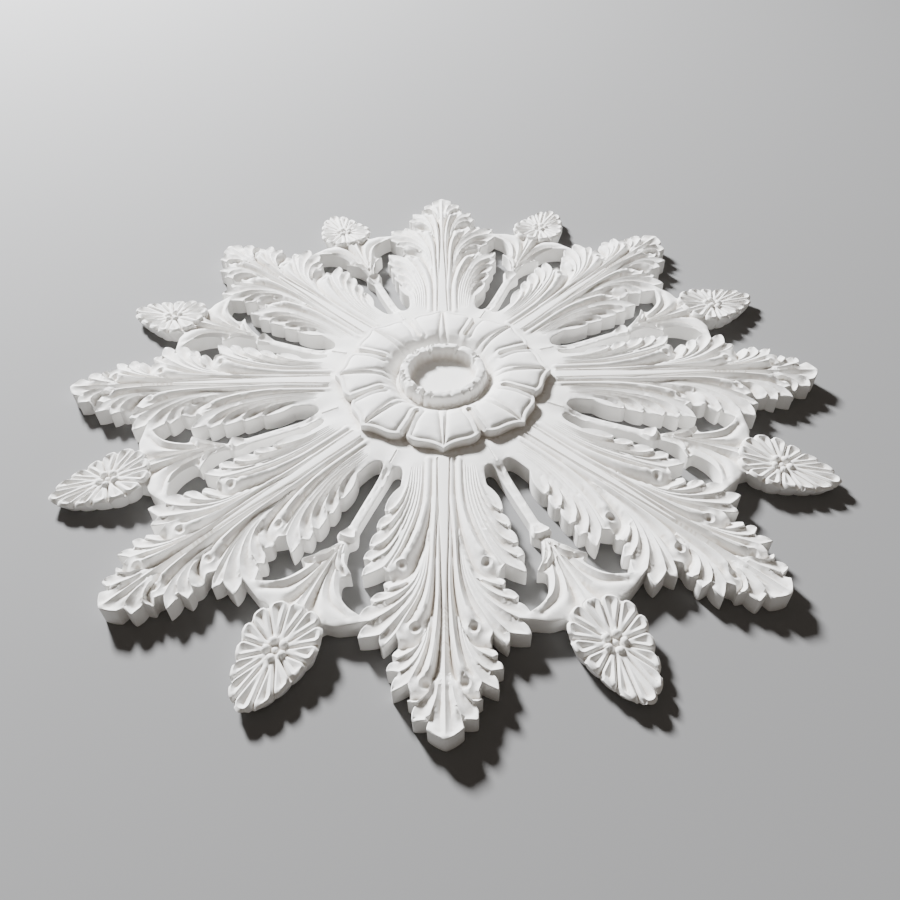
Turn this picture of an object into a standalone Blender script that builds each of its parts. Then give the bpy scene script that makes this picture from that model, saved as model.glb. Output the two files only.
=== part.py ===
"""A cast plaster ceiling rose: eight pierced acanthus leaves, eight flowers on curling stems and a petalled boss.

The casting lies on its flat back. Half a leaf and half a stem are drawn once, in a sixteenth of the circle,
as shares of the leaf's length; mirrored and turned copies of that sector make the whole.
"""

import math

import bmesh
import bpy
import numpy as np
from mathutils import Vector
from mathutils.geometry import delaunay_2d_cdt

# Driving sizes, in metres
ROSE_RADIUS = 0.500  # centre to leaf tip
LEAF_THICKNESS = 0.025  # flat back to the edge of a leaf
BOSS_RADIUS = 0.1435  # centre to petal tip
BOSS_EDGE_RISE = 0.0110  # petal edge above the leaf edges
BOSS_CREST_RISE = 0.0178  # highest line of the petals above the leaf edges
COLLAR_FOOT_DROP = 0.0025  # valley round the collar, below the leaf edges
COLLAR_RADIUS = 0.0550  # outside of the collar's rim
COLLAR_FLARE = 0.0080  # how far the collar's foot stands out from its rim
COLLAR_RISE = 0.0175  # collar's rim above the leaf edges
COLLAR_LIP = 0.0100  # width of the collar's rim
RECESS_DEPTH = 0.0190  # collar's rim to the middle of the recess

LEAVES = 8
SECTOR = math.pi / LEAVES  # from a leaf's middle to the next stem's middle
BOSS_SHARE = 0.287  # petal tip as a share of the drawing's radius
EDGE_ERROR = 0.0021  # how far the drawn outline may stray from its smooth form
STROKE_ERROR = 0.0036  # the same for the lines of the carving
STEP_WIDTH = 0.0016  # plan width of the steep edge under petals and flowers
SAME_POINT = 0.0004
WELD = 0.00002
SLIVER = 0.000001
FLOWER_PIECES = 2  # drawn pieces of the flower's edge between a petal's middle and the gap beside it
FLOWER_JOIN = 11  # the gap, counted in half petals from the outer point, where the stem's arm meets the flower
RIB_SHOULDER = 1.9  # how far out a rib groove's shoulder lies, as a share of the groove's own angle

# One lobe of half a leaf. Places are (across, along) shares of the drawing's radius, and headings are degrees
# from the leaf's middle line. A finger is its tip, the notch after it and the heading of the arris that ends there.
LOBES = (
    {
        "fan": ((0.086, 0.400), (0.060, 0.350)),
        "heading": 2,
        "start": (0.1000, 0.388),
        "fingers": (
            ((0.1340, 0.459), (0.1275, 0.467), 33),
            ((0.1500, 0.506), (0.1425, 0.514), 32),
            ((0.1630, 0.557), (0.1530, 0.563), 38),
            ((0.1740, 0.592), (0.1580, 0.601), 40),
            ((0.1735, 0.639), (0.1130, 0.629), 24),
        ),
        "crease": ((0.044, 0.305), (0.0467, 0.389), (0.055, 0.451), (0.076, 0.516), (0.100, 0.581)),
        "pipe": ((0.0350, 0.305), (0.0380, 0.390), (0.0450, 0.460), (0.0600, 0.525), (0.0830, 0.592)),
        "lip": ((0.1115, 0.6365), (0.0980, 0.6430), (0.0850, 0.6410), (0.0785, 0.6280), (0.0740, 0.6080)),
        "foot": (
            (0.0247, 0.305),
            (0.0297, 0.403),
            (0.0340, 0.474),
            (0.0480, 0.540),
            (0.0660, 0.600),
            (0.0735, 0.632),
            (0.0830, 0.6470),
            (0.0980, 0.6490),
        ),
        "eye": ((0.0905, 0.6120), (0.0860, 0.6330)),
    },
    {
        "fan": ((0.0365, 0.500), (0.0400, 0.590)),
        "heading": 8,
        "start": (0.1120, 0.643),
        "fingers": (
            ((0.1265, 0.664), (0.1210, 0.676), 62),
            ((0.1530, 0.696), (0.1450, 0.707), 66),
            ((0.1735, 0.736), (0.1520, 0.752), 56),
            ((0.1720, 0.788), (0.1290, 0.785), 42),
            ((0.1250, 0.812), (0.0945, 0.791), 20),
        ),
        "crease": ((0.0420, 0.620), (0.0530, 0.690), (0.0740, 0.750)),
        "pipe": (
            (0.0187, 0.305),
            (0.0205, 0.420),
            (0.0260, 0.500),
            (0.0300, 0.560),
            (0.0350, 0.629),
            (0.0425, 0.709),
            (0.0530, 0.758),
        ),
        "lip": ((0.0925, 0.8060), (0.0780, 0.8110), (0.0640, 0.8065), (0.0560, 0.7930), (0.0520, 0.7800)),
        "foot": (
            (0.0190, 0.470),
            (0.0226, 0.629),
            (0.0300, 0.700),
            (0.0390, 0.750),
            (0.0465, 0.785),
            (0.0600, 0.8125),
            (0.0780, 0.8170),
        ),
        "eye": ((0.0605, 0.7730), (0.0600, 0.7960)),
    },
    {
        "fan": ((0.0330, 0.715), (0.0370, 0.775)),
        "heading": 10,
        "start": (0.0945, 0.8145),
        "fingers": (
            ((0.1000, 0.830), (0.0985, 0.839), 74),
            ((0.1110, 0.861), (0.0890, 0.866), 58),
            ((0.1015, 0.9035), (0.0710, 0.894), 16),
        ),
        "crease": ((0.0360, 0.805), (0.0480, 0.850)),
        "pipe": ((0.0155, 0.560), (0.0158, 0.629), (0.0190, 0.700), (0.0250, 0.790), (0.0345, 0.876)),
        "lip": ((0.0715, 0.9060), (0.0580, 0.9170), (0.0455, 0.9130), (0.0380, 0.9000), (0.0340, 0.8880)),
        "foot": (
            (0.0127, 0.305),
            (0.0110, 0.450),
            (0.0085, 0.620),
            (0.0085, 0.750),
            (0.0130, 0.830),
            (0.0220, 0.885),
            (0.0400, 0.9180),
            (0.0580, 0.9235),
        ),
        "eye": ((0.0400, 0.8900), (0.0430, 0.9050)),
    },
    {
        "fan": ((0.0130, 0.862), (0.0110, 0.890)),
        "heading": 8,
        "start": (0.0725, 0.9140),
        "fingers": (
            ((0.0735, 0.9220), (0.0560, 0.9310), 45),
            ((0.0605, 0.9620), (0.0320, 0.9650), 14),
        ),
    },
)
LEAF_SHOULDER = (0.0345, 0.9790)
APEX_HOLLOW = ((0.0110, 0.905), (0.0160, 0.945), (0.0130, 0.980))

# Heights are shares of the leaf thickness
EDGE_TIP = 0.97
EDGE_NOTCH = 1.00
ARRIS = 1.10
SCOOP = 0.76
SCOOP_END = 0.88
CREASE = 0.86
STEP_FOOT = 0.72
LIP = 1.10
PIPE = 1.22
ROOT = 1.08
EYE_FLOOR = 0.66
EYE_RADIUS = 0.0115  # as a share of the drawing's radius
EYE_WALL = (20, 250)  # the round wall of an eye, in degrees from the way to the leaf's tip, outwards positive

# The stem's half, as (across, along, height), seen from its own middle line
SLOT_END = (
    (0.0455, 0.362, 0.98),
    (0.0370, 0.345, 0.98),
    (0.0255, 0.338, 0.96),
    (0.0155, 0.341, 0.90),
    (0.0115, 0.352, 0.82),
)
ROD_EDGE = ((0.0115, 0.352, 0.82), (0.0112, 0.400, 0.54), (0.0105, 0.530, 0.50))
KNOT_EDGE = ((0.0105, 0.530, 0.50), (0.0235, 0.560, 0.56), (0.0225, 0.571, 0.56), (0.0110, 0.582, 0.54))
BRACT_EDGE = (
    (0.0110, 0.582, 0.54),
    (0.0190, 0.608, 0.60),
    (0.0350, 0.636, 0.68),
    (0.0620, 0.660, 0.70),
)
ARM_INNER = (
    (0.0620, 0.660, 0.70),
    (0.0440, 0.671, 0.76),
    (0.0500, 0.693, 0.84),
    (0.0660, 0.718, 0.92),
    (0.0900, 0.737, 0.98),
)
ARM_OUTER = (
    (0.0650, 0.786, 0.86),
    (0.0900, 0.783, 0.90),
    (0.1150, 0.770, 0.96),
)
ARM_FOOT_HEIGHT = 0.84  # of the arm's outer edge where it leaves the flower
ARM_FLUTE = ((0.0180, 0.655, 0.62), (0.0330, 0.705, 0.66), (0.0650, 0.752, 0.72), (0.1050, 0.758, 0.80))
ARM_ROLL = ((0.0250, 0.640, 0.78), (0.0400, 0.690, 0.90), (0.0660, 0.733, 0.98), (0.1050, 0.749, 0.98))
NECK_FLUTE = ((0.0070, 0.640, 0.64), (0.0120, 0.700, 0.72), (0.0200, 0.755, 0.80))
NECK_ROLL = ((0.0130, 0.650, 0.80), (0.0220, 0.705, 0.88), (0.0360, 0.765, 0.90))
STEM_MIDDLE = (
    (0.0, 0.290, 1.06),
    (0.0, 0.335, 0.96),
    (0.0, 0.380, 0.68),
    (0.0, 0.530, 0.62),
    (0.0, 0.565, 0.80),
    (0.0, 0.584, 0.66),
    (0.0, 0.620, 0.84),
    (0.0, 0.690, 0.92),
    (0.0, 0.765, 0.98),
)

# The flower
FLOWER_CENTRE = 0.8705
FLOWER_OUT = 0.1370
FLOWER_IN = 0.1020
FLOWER_HALF_WIDTH = 0.0800
FLOWER_POINTING = 0.11
FLOWER_PETALS = 14
PETAL_NOTCH = 0.070
FLOWER_TIP_HEIGHT = 0.66
FLOWER_NECK_HEIGHT = 1.12
FLOWER_HOLLOW = 0.20
FLOWER_HEART = 0.24
PETAL_HOLLOW = 0.66  # where a petal is deepest, as a share of the flower's reach
BEAD_HEIGHT = 0.16
FLOWER_UNDERCUT = 0.86  # the flower's back outline as a share of its face

# The boss, in degrees from a leaf's middle and shares of the boss's radius
PETAL_EDGE = ((0.0, 1.000), (3.2, 0.962), (8.0, 0.928), (13.0, 0.936), (17.5, 0.934), (20.5, 0.890), (22.5, 0.846))
PETAL_PROFILE = ((0.0, 0.0), (0.10, 0.42), (0.22, 0.80), (0.36, 0.97), (0.50, 1.0), (0.68, 0.96), (0.86, 0.82), (1.0, 0.66))
CROWN = 0.34  # where the petals come up to their full height, from the collar's foot to their edge
RIB_GROOVE = ((0.560, 4.6), (0.740, 2.8), (0.930, 0.7))
RIB_DEPTH = 0.0028
TEARDROP = ((0.580, 20.2), (0.640, 18.8), (0.740, 20.2), (0.846, 21.2))
TEARDROP_DEPTH = 0.0050


def placed(across, along):
    """A place in the drawing, in metres: its bearing is kept, and its radius runs from boss to leaf tip."""
    share = math.hypot(across, along)
    outward = (share - BOSS_SHARE) / (1.0 - BOSS_SHARE)
    radius = BOSS_RADIUS + outward * (ROSE_RADIUS - BOSS_RADIUS)
    return across * radius / share, along * radius / share


def leaf_point(across, along, height):
    x, y = placed(across, along)
    return x, y, height * LEAF_THICKNESS


def stem_point(across, along, height):
    turned = (
        along * math.sin(SECTOR) - across * math.cos(SECTOR),
        along * math.cos(SECTOR) + across * math.sin(SECTOR),
    )
    return leaf_point(*turned, height)


def polar_point(radius, degrees, height):
    return radius * math.sin(math.radians(degrees)), radius * math.cos(math.radians(degrees)), height


def smooth_curve(points, pieces=8):
    """A curve through all the points, as rows of an array."""
    rows = np.array(points, float)
    padded = np.vstack([2 * rows[0] - rows[1], rows, 2 * rows[-1] - rows[-2]])
    made = []
    for before, start, end, after in zip(padded, padded[1:], padded[2:], padded[3:]):
        for step in range(pieces):
            t = step / pieces
            made.append(
                0.5
                * (
                    2 * start
                    + (end - before) * t
                    + (2 * before - 5 * start + 4 * end - after) * t**2
                    + (3 * start - before - 3 * end + after) * t**3
                )
            )
    made.append(rows[-1])
    return np.array(made)


def headed_curve(start, start_heading, end, end_heading, pieces=16):
    """A curve in the drawing that leaves and arrives along two headings."""
    start, end = np.array(start), np.array(end)
    reach = 0.38 * np.linalg.norm(end - start)
    headings = [np.radians(start_heading), np.radians(end_heading)]
    leave, arrive = [np.array([np.sin(a), np.cos(a)]) * reach for a in headings]
    t = np.linspace(0.0, 1.0, pieces + 1)[:, None]
    return (
        (1 - t) ** 3 * start
        + 3 * (1 - t) ** 2 * t * (start + leave)
        + 3 * (1 - t) * t**2 * (end - arrive)
        + t**3 * end
    )


def bowed_edge(start, end, bow, pieces=6):
    """A line in the drawing from start to end, bowed to its left by a share of its length."""
    start, end = np.array(start), np.array(end)
    run = end - start
    control = (start + end) / 2 + bow * 2 * np.array([-run[1], run[0]])
    t = np.linspace(0.0, 1.0, pieces + 1)[:, None]
    return (1 - t) ** 2 * start + 2 * (1 - t) * t * control + t**2 * end


def eased(share):
    share = np.clip(share, 0.0, 1.0)
    return share * share * (3 - 2 * share)


def along_leaf(path, heights):
    """Rows of metres from a path in the drawing and its heights."""
    return np.array([leaf_point(across, along, height) for (across, along), height in zip(path, heights)])


def along_stem(points):
    return np.array([stem_point(*row) for row in smooth_curve(points)])


class Relief:
    """The drawn lines of the carving: high lines, low lines, and the edge that they all stay inside."""

    def __init__(self):
        self.high = []
        self.low = []
        self.drawn = []

    def add_high(self, rows, roundness=0.0, draw=True):
        self.high.append((rows, roundness))
        if draw:
            self.drawn.append(rows)

    def add_low(self, rows, roundness=0.0, draw=True):
        self.low.append((rows, roundness))
        if draw:
            self.drawn.append(rows)


def lobe_fan(lobe):
    """The paths of a lobe's arrises, from where they part to its notches."""
    first, last = (np.array(place) for place in lobe["fan"])
    fingers = lobe["fingers"]
    paths = []
    for index, (_, notch, heading) in enumerate(fingers):
        start = first + (last - first) * index / max(1, len(fingers) - 1)
        paths.append(headed_curve(start, lobe["heading"], notch, heading))
    return paths


def add_lobe(relief, lobe):
    fan = lobe_fan(lobe)
    if "crease" in lobe:
        fan[-1] = smooth_curve((*lobe["crease"], lobe["fingers"][-1][1]))[:, :2]
    for index, path in enumerate(fan):
        share = np.linspace(0.0, 1.0, len(path))
        if index == len(fan) - 1 and "crease" in lobe:
            heights = CREASE + (ROOT - CREASE - 0.08) * (1 - eased(share / 0.5))
            relief.add_low(along_leaf(path, heights), 0.2)
            continue
        rise = CREASE + (ARRIS - CREASE) * eased(share / 0.45)
        heights = rise + (EDGE_NOTCH - ARRIS) * eased((share - 0.75) / 0.25)
        rows = along_leaf(path, heights)
        relief.add_high(rows, draw=False)
        relief.drawn.append(rows[len(rows) // 4 :])
    for index, (tip, _, _) in enumerate(lobe["fingers"]):
        if index == 0 and lobe is not LOBES[0]:
            continue
        add_scoop(relief, lobe, fan, index, tip)


def add_scoop(relief, lobe, fan, index, tip):
    """The hollow of one finger, between the arris before it and the arris after it."""
    count = 17
    share = np.linspace(0.0, 1.0, count)[:, None]

    def resampled(path):
        steps = np.linspace(0, len(path) - 1, count)
        return np.stack([np.interp(steps, range(len(path)), path[:, axis]) for axis in (0, 1)], axis=1)

    after = resampled(fan[index])
    if index:
        before = resampled(fan[index - 1])
    else:
        before = resampled(headed_curve(after[0] + (0.006, -0.012), lobe["heading"], lobe["start"], 55))
    middle = before * 0.55 + after * 0.45
    end = np.array(tip) * 0.86 + middle[-1] * 0.14
    path = middle + (end - middle[-1]) * share**2
    keep = path[5:-2]
    part = np.linspace(0.0, 1.0, len(keep))
    heights = SCOOP + (CREASE - SCOOP) * (1 - eased(part / 0.3))
    heights = heights + (SCOOP_END - SCOOP) * eased((part - 0.55) / 0.45)
    relief.add_low(along_leaf(keep, heights), 0.9)


def add_lobe_end(relief, lobe):
    """The rounded pipe that runs to a lobe's eye, the lip round the eye and the step under the lip."""
    pipe = smooth_curve(lobe["pipe"])
    share = np.linspace(0.0, 1.0, len(pipe))
    relief.add_high(along_leaf(pipe, ROOT + (PIPE - ROOT) * eased(share)), 1.0)
    lip = smooth_curve(lobe["lip"], 5)
    share = np.linspace(0.0, 1.0, len(lip))
    relief.add_high(along_leaf(lip, 1.0 + (LIP - 1.0) * eased(share / 0.3)))


def add_eye(relief, lobe):
    """The dimple at the end of a lobe's pipe: a round wall on its root and outer side, and a floor."""
    across, along = lobe["eye"][0]
    wall = []
    for degrees in np.linspace(*EYE_WALL, 4):
        turn = math.radians(degrees)
        wall.append((across + EYE_RADIUS * math.sin(turn), along + EYE_RADIUS * math.cos(turn)))
    relief.add_high(along_leaf(wall, [LIP] * len(wall)), 0.3)
    relief.add_low(along_leaf(lobe["eye"], [EYE_FLOOR, EYE_FLOOR + 0.16]))


def add_foot(relief, lobe, start):
    foot = smooth_curve((*lobe["foot"], start), 6)
    share = np.linspace(0.0, 1.0, len(foot))
    heights = ROOT - 0.06 - (ROOT - 0.06 - STEP_FOOT) * eased(share / 0.85)
    relief.add_low(along_leaf(foot, heights))


def leaf_edge():
    """The pierced leaf's outline, from the inner slot to its tip, as rows of metres."""
    rows = []
    previous = LOBES[0]["start"]
    previous_height = 0.98
    for number, lobe in enumerate(LOBES):
        if number:
            lip_end = LOBES[number - 1]["lip"][0]
            for place, height in ((lip_end, 1.0), (lobe["start"], STEP_FOOT)):
                rows.append([(*previous, previous_height), (*place, height)])
                previous, previous_height = place, height
        for tip, notch, _ in lobe["fingers"]:
            rows.append([(*p, h) for p, h in finger_edge(previous, previous_height, tip, EDGE_TIP, -0.10)])
            rows.append([(*p, h) for p, h in finger_edge(tip, EDGE_TIP, notch, EDGE_NOTCH, -0.05)])
            previous, previous_height = notch, EDGE_NOTCH
    rows.append([(*previous, previous_height), (*LEAF_SHOULDER, 1.0)])
    apex_side = bowed_edge(LEAF_SHOULDER, (0.0, 1.0), -0.06)
    rows.append([(*place, 1.0) for place in apex_side])
    return [np.array([leaf_point(*place) for place in row]) for row in rows]


def finger_edge(start, start_height, end, end_height, bow):
    path = bowed_edge(start, end, bow)
    heights = np.linspace(start_height, end_height, len(path))
    return [(tuple(place), height) for place, height in zip(path, heights)]


def flower_radius(turn):
    """The flower's reach from its centre, where turn is the angle from its outer point."""
    length = FLOWER_OUT if math.cos(turn) > 0 else FLOWER_IN
    ellipse = 1.0 / math.hypot(math.cos(turn) / length, math.sin(turn) / FLOWER_HALF_WIDTH)
    return ellipse * (1.0 - FLOWER_POINTING * math.sin(2 * turn))


def petal_turns():
    """The turns of the petals' middles and gaps round half the flower, spaced evenly along its edge."""
    turns = np.linspace(0.0, math.pi, 241)
    places = np.array([(flower_radius(t) * math.sin(t), flower_radius(t) * math.cos(t)) for t in turns])
    travel = np.concatenate([[0.0], np.cumsum(np.linalg.norm(np.diff(places, axis=0), axis=1))])
    halves = np.linspace(0.0, travel[-1], FLOWER_PETALS + 1)
    return np.interp(halves, travel, turns)


def flower_place(turn, share):
    radius = flower_radius(turn) * share
    return radius * math.sin(turn), FLOWER_CENTRE + radius * math.cos(turn)


def flower_height(turn, share, petal):
    """Height share on the flower; petal is 0 in a petal's middle and 1 at the gap beside it."""
    plane = FLOWER_TIP_HEIGHT + (FLOWER_NECK_HEIGHT - FLOWER_TIP_HEIGHT) * (1 - math.cos(turn) * share) / 2
    if share < FLOWER_HEART:
        return plane - 0.12 + BEAD_HEIGHT * (1 - (share / FLOWER_HEART) ** 2)
    reach = (share - FLOWER_HEART) / (1 - FLOWER_HEART)
    dish = -0.12 * (1 - reach) ** 1.5
    hollow = FLOWER_HOLLOW * (1 - petal**2) * math.sin(math.pi * min(1.0, reach * 0.92)) ** 0.7
    return plane + dish - hollow


def flower_edge_share(petal):
    """Petal ends are round: the edge draws in towards the gaps."""
    return 1.0 - PETAL_NOTCH * (1.0 - math.sqrt(max(0.0, 1.0 - petal**2)))


def flower_edge(pieces=FLOWER_PIECES):
    """Half of the flower's outline, from its outer point to its inner end, as (turn, petal) pairs."""
    turns = petal_turns()
    places = []
    for index in range(len(turns) - 1):
        for step in range(pieces):
            part = step / pieces
            petal = part if index % 2 == 0 else 1 - part
            turn = turns[index] + (turns[index + 1] - turns[index]) * part
            places.append((turn, petal))
    places.append((turns[-1], 0.0))
    return places


def flower_lines():
    """The lines between a flower's petals and down their middles, and the ring round its heart."""
    lines = []
    ring = []
    for index, turn in enumerate(petal_turns()):
        gap = index % 2 == 1
        shares = (FLOWER_HEART, flower_edge_share(1)) if gap else (PETAL_HOLLOW,)
        lines.append([flower_place(turn, share) for share in shares])
        if gap or index in (0, FLOWER_PETALS):
            ring.append(flower_place(turn, FLOWER_HEART))
    lines.append(ring)
    lines.append([(0.0, FLOWER_CENTRE)])
    return [np.array([stem_point(*place, 0.0) for place in line]) for line in lines]


def petal_edge_share(degrees):
    """The boss's edge as a share of its radius, at an angle from a leaf's middle."""
    angles, shares = zip(*PETAL_EDGE)
    return float(np.interp(degrees, angles, shares))


def boss_height(radius, degrees):
    """Height in metres on the boss, without the fine lines of its petals."""
    rim = LEAF_THICKNESS + COLLAR_RISE
    foot = LEAF_THICKNESS - COLLAR_FOOT_DROP
    inner = COLLAR_RADIUS - COLLAR_LIP
    foot_radius = COLLAR_RADIUS + COLLAR_FLARE
    if radius <= inner:
        return rim - RECESS_DEPTH
    if radius <= COLLAR_RADIUS:
        across = (radius - inner) / COLLAR_LIP
        return rim - 0.10 * COLLAR_LIP * (2 * across - 1) ** 2
    if radius <= foot_radius:
        return rim + (foot - rim) * (radius - COLLAR_RADIUS) / COLLAR_FLARE
    edge = BOSS_RADIUS * petal_edge_share(degrees)
    share = min(1.0, (radius - foot_radius) / (edge - foot_radius))
    stations, levels = zip(*PETAL_PROFILE)
    crest = LEAF_THICKNESS + BOSS_CREST_RISE
    level = float(np.interp(share, stations, levels))
    if share > 0.5:
        edge_height = LEAF_THICKNESS + BOSS_EDGE_RISE
        fall = (1.0 - level) / (1.0 - levels[-1])
        return crest + (edge_height - crest) * fall
    return foot + (crest - foot) * level


def nearest_heights(points, lines):
    """Distance to the nearest of the lines, with the height and roundness there, for each row of points."""
    starts = np.vstack([rows[:-1] for rows, _ in lines])
    runs = np.vstack([rows[1:] - rows[:-1] for rows, _ in lines])
    roundness = np.concatenate([np.full(len(rows) - 1, value) for rows, value in lines])
    offset = points[:, None, :] - starts[None, :, :2]
    length = np.maximum((runs[:, :2] ** 2).sum(axis=1), 1e-12)
    share = np.clip((offset * runs[None, :, :2]).sum(axis=2) / length, 0.0, 1.0)
    gap = offset - share[:, :, None] * runs[None, :, :2]
    squared = (gap**2).sum(axis=2)
    weight = 1.0 / (squared + 1e-9) ** 2
    total = weight.sum(axis=1)
    height = (weight * (starts[None, :, 2] + share * runs[None, :, 2])).sum(axis=1) / total
    rounded = (weight * roundness[None, :]).sum(axis=1) / total
    return np.sqrt(squared.min(axis=1)), height, rounded


def carved_heights(points, relief):
    """Heights between the high and low lines, hollow or round as the lines beside them ask."""
    high_gap, high, high_round = nearest_heights(points, relief.high)
    low_gap, low, low_round = nearest_heights(points, relief.low)
    share = low_gap / np.maximum(low_gap + high_gap, 1e-9)
    plain = (1 - low_round) * (1 - high_round) * share
    hollow = low_round * (1 - high_round) * share**2
    round_top = (1 - low_round) * high_round * (1 - (1 - share) ** 2)
    both = low_round * high_round * (3 * share**2 - 2 * share**3)
    return low + (high - low) * (plain + hollow + round_top + both)


def draw_relief():
    relief = Relief()
    for lobe in LOBES:
        add_lobe(relief, lobe)
    for lobe, following in zip(LOBES, LOBES[1:]):
        add_lobe_end(relief, lobe)
        add_eye(relief, lobe)
        add_foot(relief, lobe, following["start"])
    apex = smooth_curve(APEX_HOLLOW)
    relief.add_low(along_leaf(apex, np.linspace(0.90, 0.94, len(apex))), 0.8)
    middle = [(0.0, 0.290, 1.12), (0.0, 0.700, 1.10), (0.0, 0.900, 1.06), (0.0, 1.0, 1.0)]
    relief.add_high(np.array([leaf_point(*row) for row in smooth_curve(middle)]), 0.8, draw=False)
    for points, roundness in ((ARM_ROLL, 0.6), (NECK_ROLL, 0.6)):
        relief.add_high(along_stem(points), roundness)
    for points in (ARM_FLUTE, NECK_FLUTE):
        relief.add_low(along_stem(points), 0.5)
    relief.add_high(along_stem(STEM_MIDDLE), 0.7, draw=False)
    return relief


def thinned(rows, error):
    """The rows that a curve needs to stay within an error of its smooth form."""
    if len(rows) < 3:
        return rows
    run = rows[-1, :2] - rows[0, :2]
    length = np.hypot(*run)
    offset = rows[1:-1, :2] - rows[0, :2]
    if length < 1e-9:
        gap = np.hypot(*offset.T)
    else:
        gap = np.abs(offset[:, 0] * run[1] - offset[:, 1] * run[0]) / length
    worst = int(gap.argmax())
    if gap[worst] < error:
        return rows[[0, -1]]
    left = thinned(rows[: worst + 2], error)
    right = thinned(rows[worst + 1 :], error)
    return np.vstack([left[:-1], right])


class Plan:
    """The points and lines to triangulate, with near points made one."""

    def __init__(self):
        self.points = []
        self.edges = []

    def point(self, x, y):
        for index, (other_x, other_y) in enumerate(self.points):
            if math.hypot(x - other_x, y - other_y) < SAME_POINT:
                return index
        self.points.append((float(x), float(y)))
        return len(self.points) - 1

    def line(self, rows):
        indices = [self.point(row[0], row[1]) for row in rows]
        for first, second in zip(indices, indices[1:]):
            if first != second:
                self.edges.append((first, second))
        return indices


def inside(points, loops):
    """Whether each point is inside an odd number of loops."""
    crossings = np.zeros(len(points), int)
    for loop in loops:
        following = np.roll(loop, -1, axis=0)
        for (x0, y0), (x1, y1) in zip(loop, following):
            if y0 == y1:
                continue
            spans = (points[:, 1] > min(y0, y1)) & (points[:, 1] <= max(y0, y1))
            x = x0 + (points[:, 1] - y0) * (x1 - x0) / (y1 - y0)
            crossings += spans & (x > points[:, 0])
    return crossings % 2 == 1


def triangulated(plan, loops):
    """Triangles of the plan that lie inside the loops, wound to face up."""
    points = [Vector(point) for point in plan.points]
    made, _, faces, _, _, _ = delaunay_2d_cdt(points, plan.edges, [], 0, 1e-7, False)
    spots = np.array([tuple(point) for point in made])
    faces = np.array([face for face in faces], int)
    a, b, c = (spots[faces[:, i]] for i in range(3))
    area = (b[:, 0] - a[:, 0]) * (c[:, 1] - a[:, 1]) - (c[:, 0] - a[:, 0]) * (b[:, 1] - a[:, 1])
    faces[area < 0] = faces[area < 0][:, ::-1]
    longest = np.max([np.hypot(*(b - a).T), np.hypot(*(c - b).T), np.hypot(*(a - c).T)], axis=0)
    keep = inside((a + b + c) / 3, loops) & (np.abs(area) > SLIVER * longest)
    return spots, faces[keep]


def recess_floor_radius():
    return COLLAR_RADIUS - COLLAR_LIP - STEP_WIDTH


def boss_place(share, degrees):
    """A place on the petals in metres, where share runs from the boss's middle to its edge at a petal's tip."""
    return polar_point(BOSS_RADIUS * share, degrees, 0.0)[:2]


def boss_lines():
    """The boss's rings, petal edges, rib grooves and teardrops in the sector, as lists of places."""
    turns = np.linspace(0.0, 180.0 / LEAVES, 4)
    foot = COLLAR_RADIUS + COLLAR_FLARE
    lines = []
    for radius in (recess_floor_radius(), COLLAR_RADIUS - COLLAR_LIP, COLLAR_RADIUS, foot):
        lines.append([polar_point(radius, turn, 0.0)[:2] for turn in turns])
    crown = []
    for turn in turns:
        edge = BOSS_RADIUS * petal_edge_share(turn)
        crown.append(polar_point(foot + (edge - foot) * CROWN, turn, 0.0)[:2])
    lines.append(crown)
    edge = [polar_point(BOSS_RADIUS * share, turn, 0.0)[:2] for turn, share in PETAL_EDGE]
    below = [polar_point(BOSS_RADIUS * share + STEP_WIDTH, turn, 0.0)[:2] for turn, share in PETAL_EDGE]
    lines.extend([edge, below])
    lines.append([boss_place(share, degrees) for share, degrees in RIB_GROOVE])
    lines.append([boss_place(share, degrees * RIB_SHOULDER) for share, degrees in RIB_GROOVE])
    tear_top = boss_place(TEARDROP[0][0] - 0.02, 180.0 / LEAVES)
    lines.append([tear_top, *(boss_place(share, degrees) for share, degrees in TEARDROP)])
    return lines


def boss_carving(x, y):
    """How far the petals' grooves and teardrops are cut in at a place, in metres."""
    radius = math.hypot(x, y)
    degrees = math.degrees(math.atan2(x, y))
    share = radius / BOSS_RADIUS
    cut = 0.0
    shares, angles = zip(*RIB_GROOVE)
    if shares[0] - 0.05 < share < shares[-1] + 0.04:
        groove = float(np.interp(share, shares, angles))
        off = abs(degrees - groove) / max(groove * (RIB_SHOULDER - 1), 0.4)
        cut = RIB_DEPTH * max(0.0, 1.0 - off)
    shares, angles = zip(*TEARDROP)
    if shares[0] - 0.02 < share:
        side = float(np.interp(share, shares, angles))
        inward = (degrees - side) / max(180.0 / LEAVES - side, 0.5)
        cut = max(cut, TEARDROP_DEPTH * min(1.0, max(0.0, inward)) * min(1.0, (share - shares[0] + 0.02) / 0.08))
    return cut


def across_share(x, y):
    """The drawing's place of a point in metres, the reverse of placed."""
    radius = math.hypot(x, y)
    outward = (radius - BOSS_RADIUS) / (ROSE_RADIUS - BOSS_RADIUS)
    share = BOSS_SHARE + outward * (1.0 - BOSS_SHARE)
    return x * share / radius, y * share / radius


def flower_spot(x, y):
    """Turn, share of the reach and petal share of a place in metres, seen from the flower's heart."""
    across, along = across_share(x, y)
    side = along * math.sin(SECTOR) - across * math.cos(SECTOR)
    outward = along * math.cos(SECTOR) + across * math.sin(SECTOR) - FLOWER_CENTRE
    turn = math.atan2(abs(side), outward)
    share = math.hypot(side, outward) / flower_radius(turn)
    turns = petal_turns()
    halves = float(np.interp(turn, turns, np.arange(len(turns))))
    petal = abs(halves - 2 * round(halves / 2))
    return turn, share, petal


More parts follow.
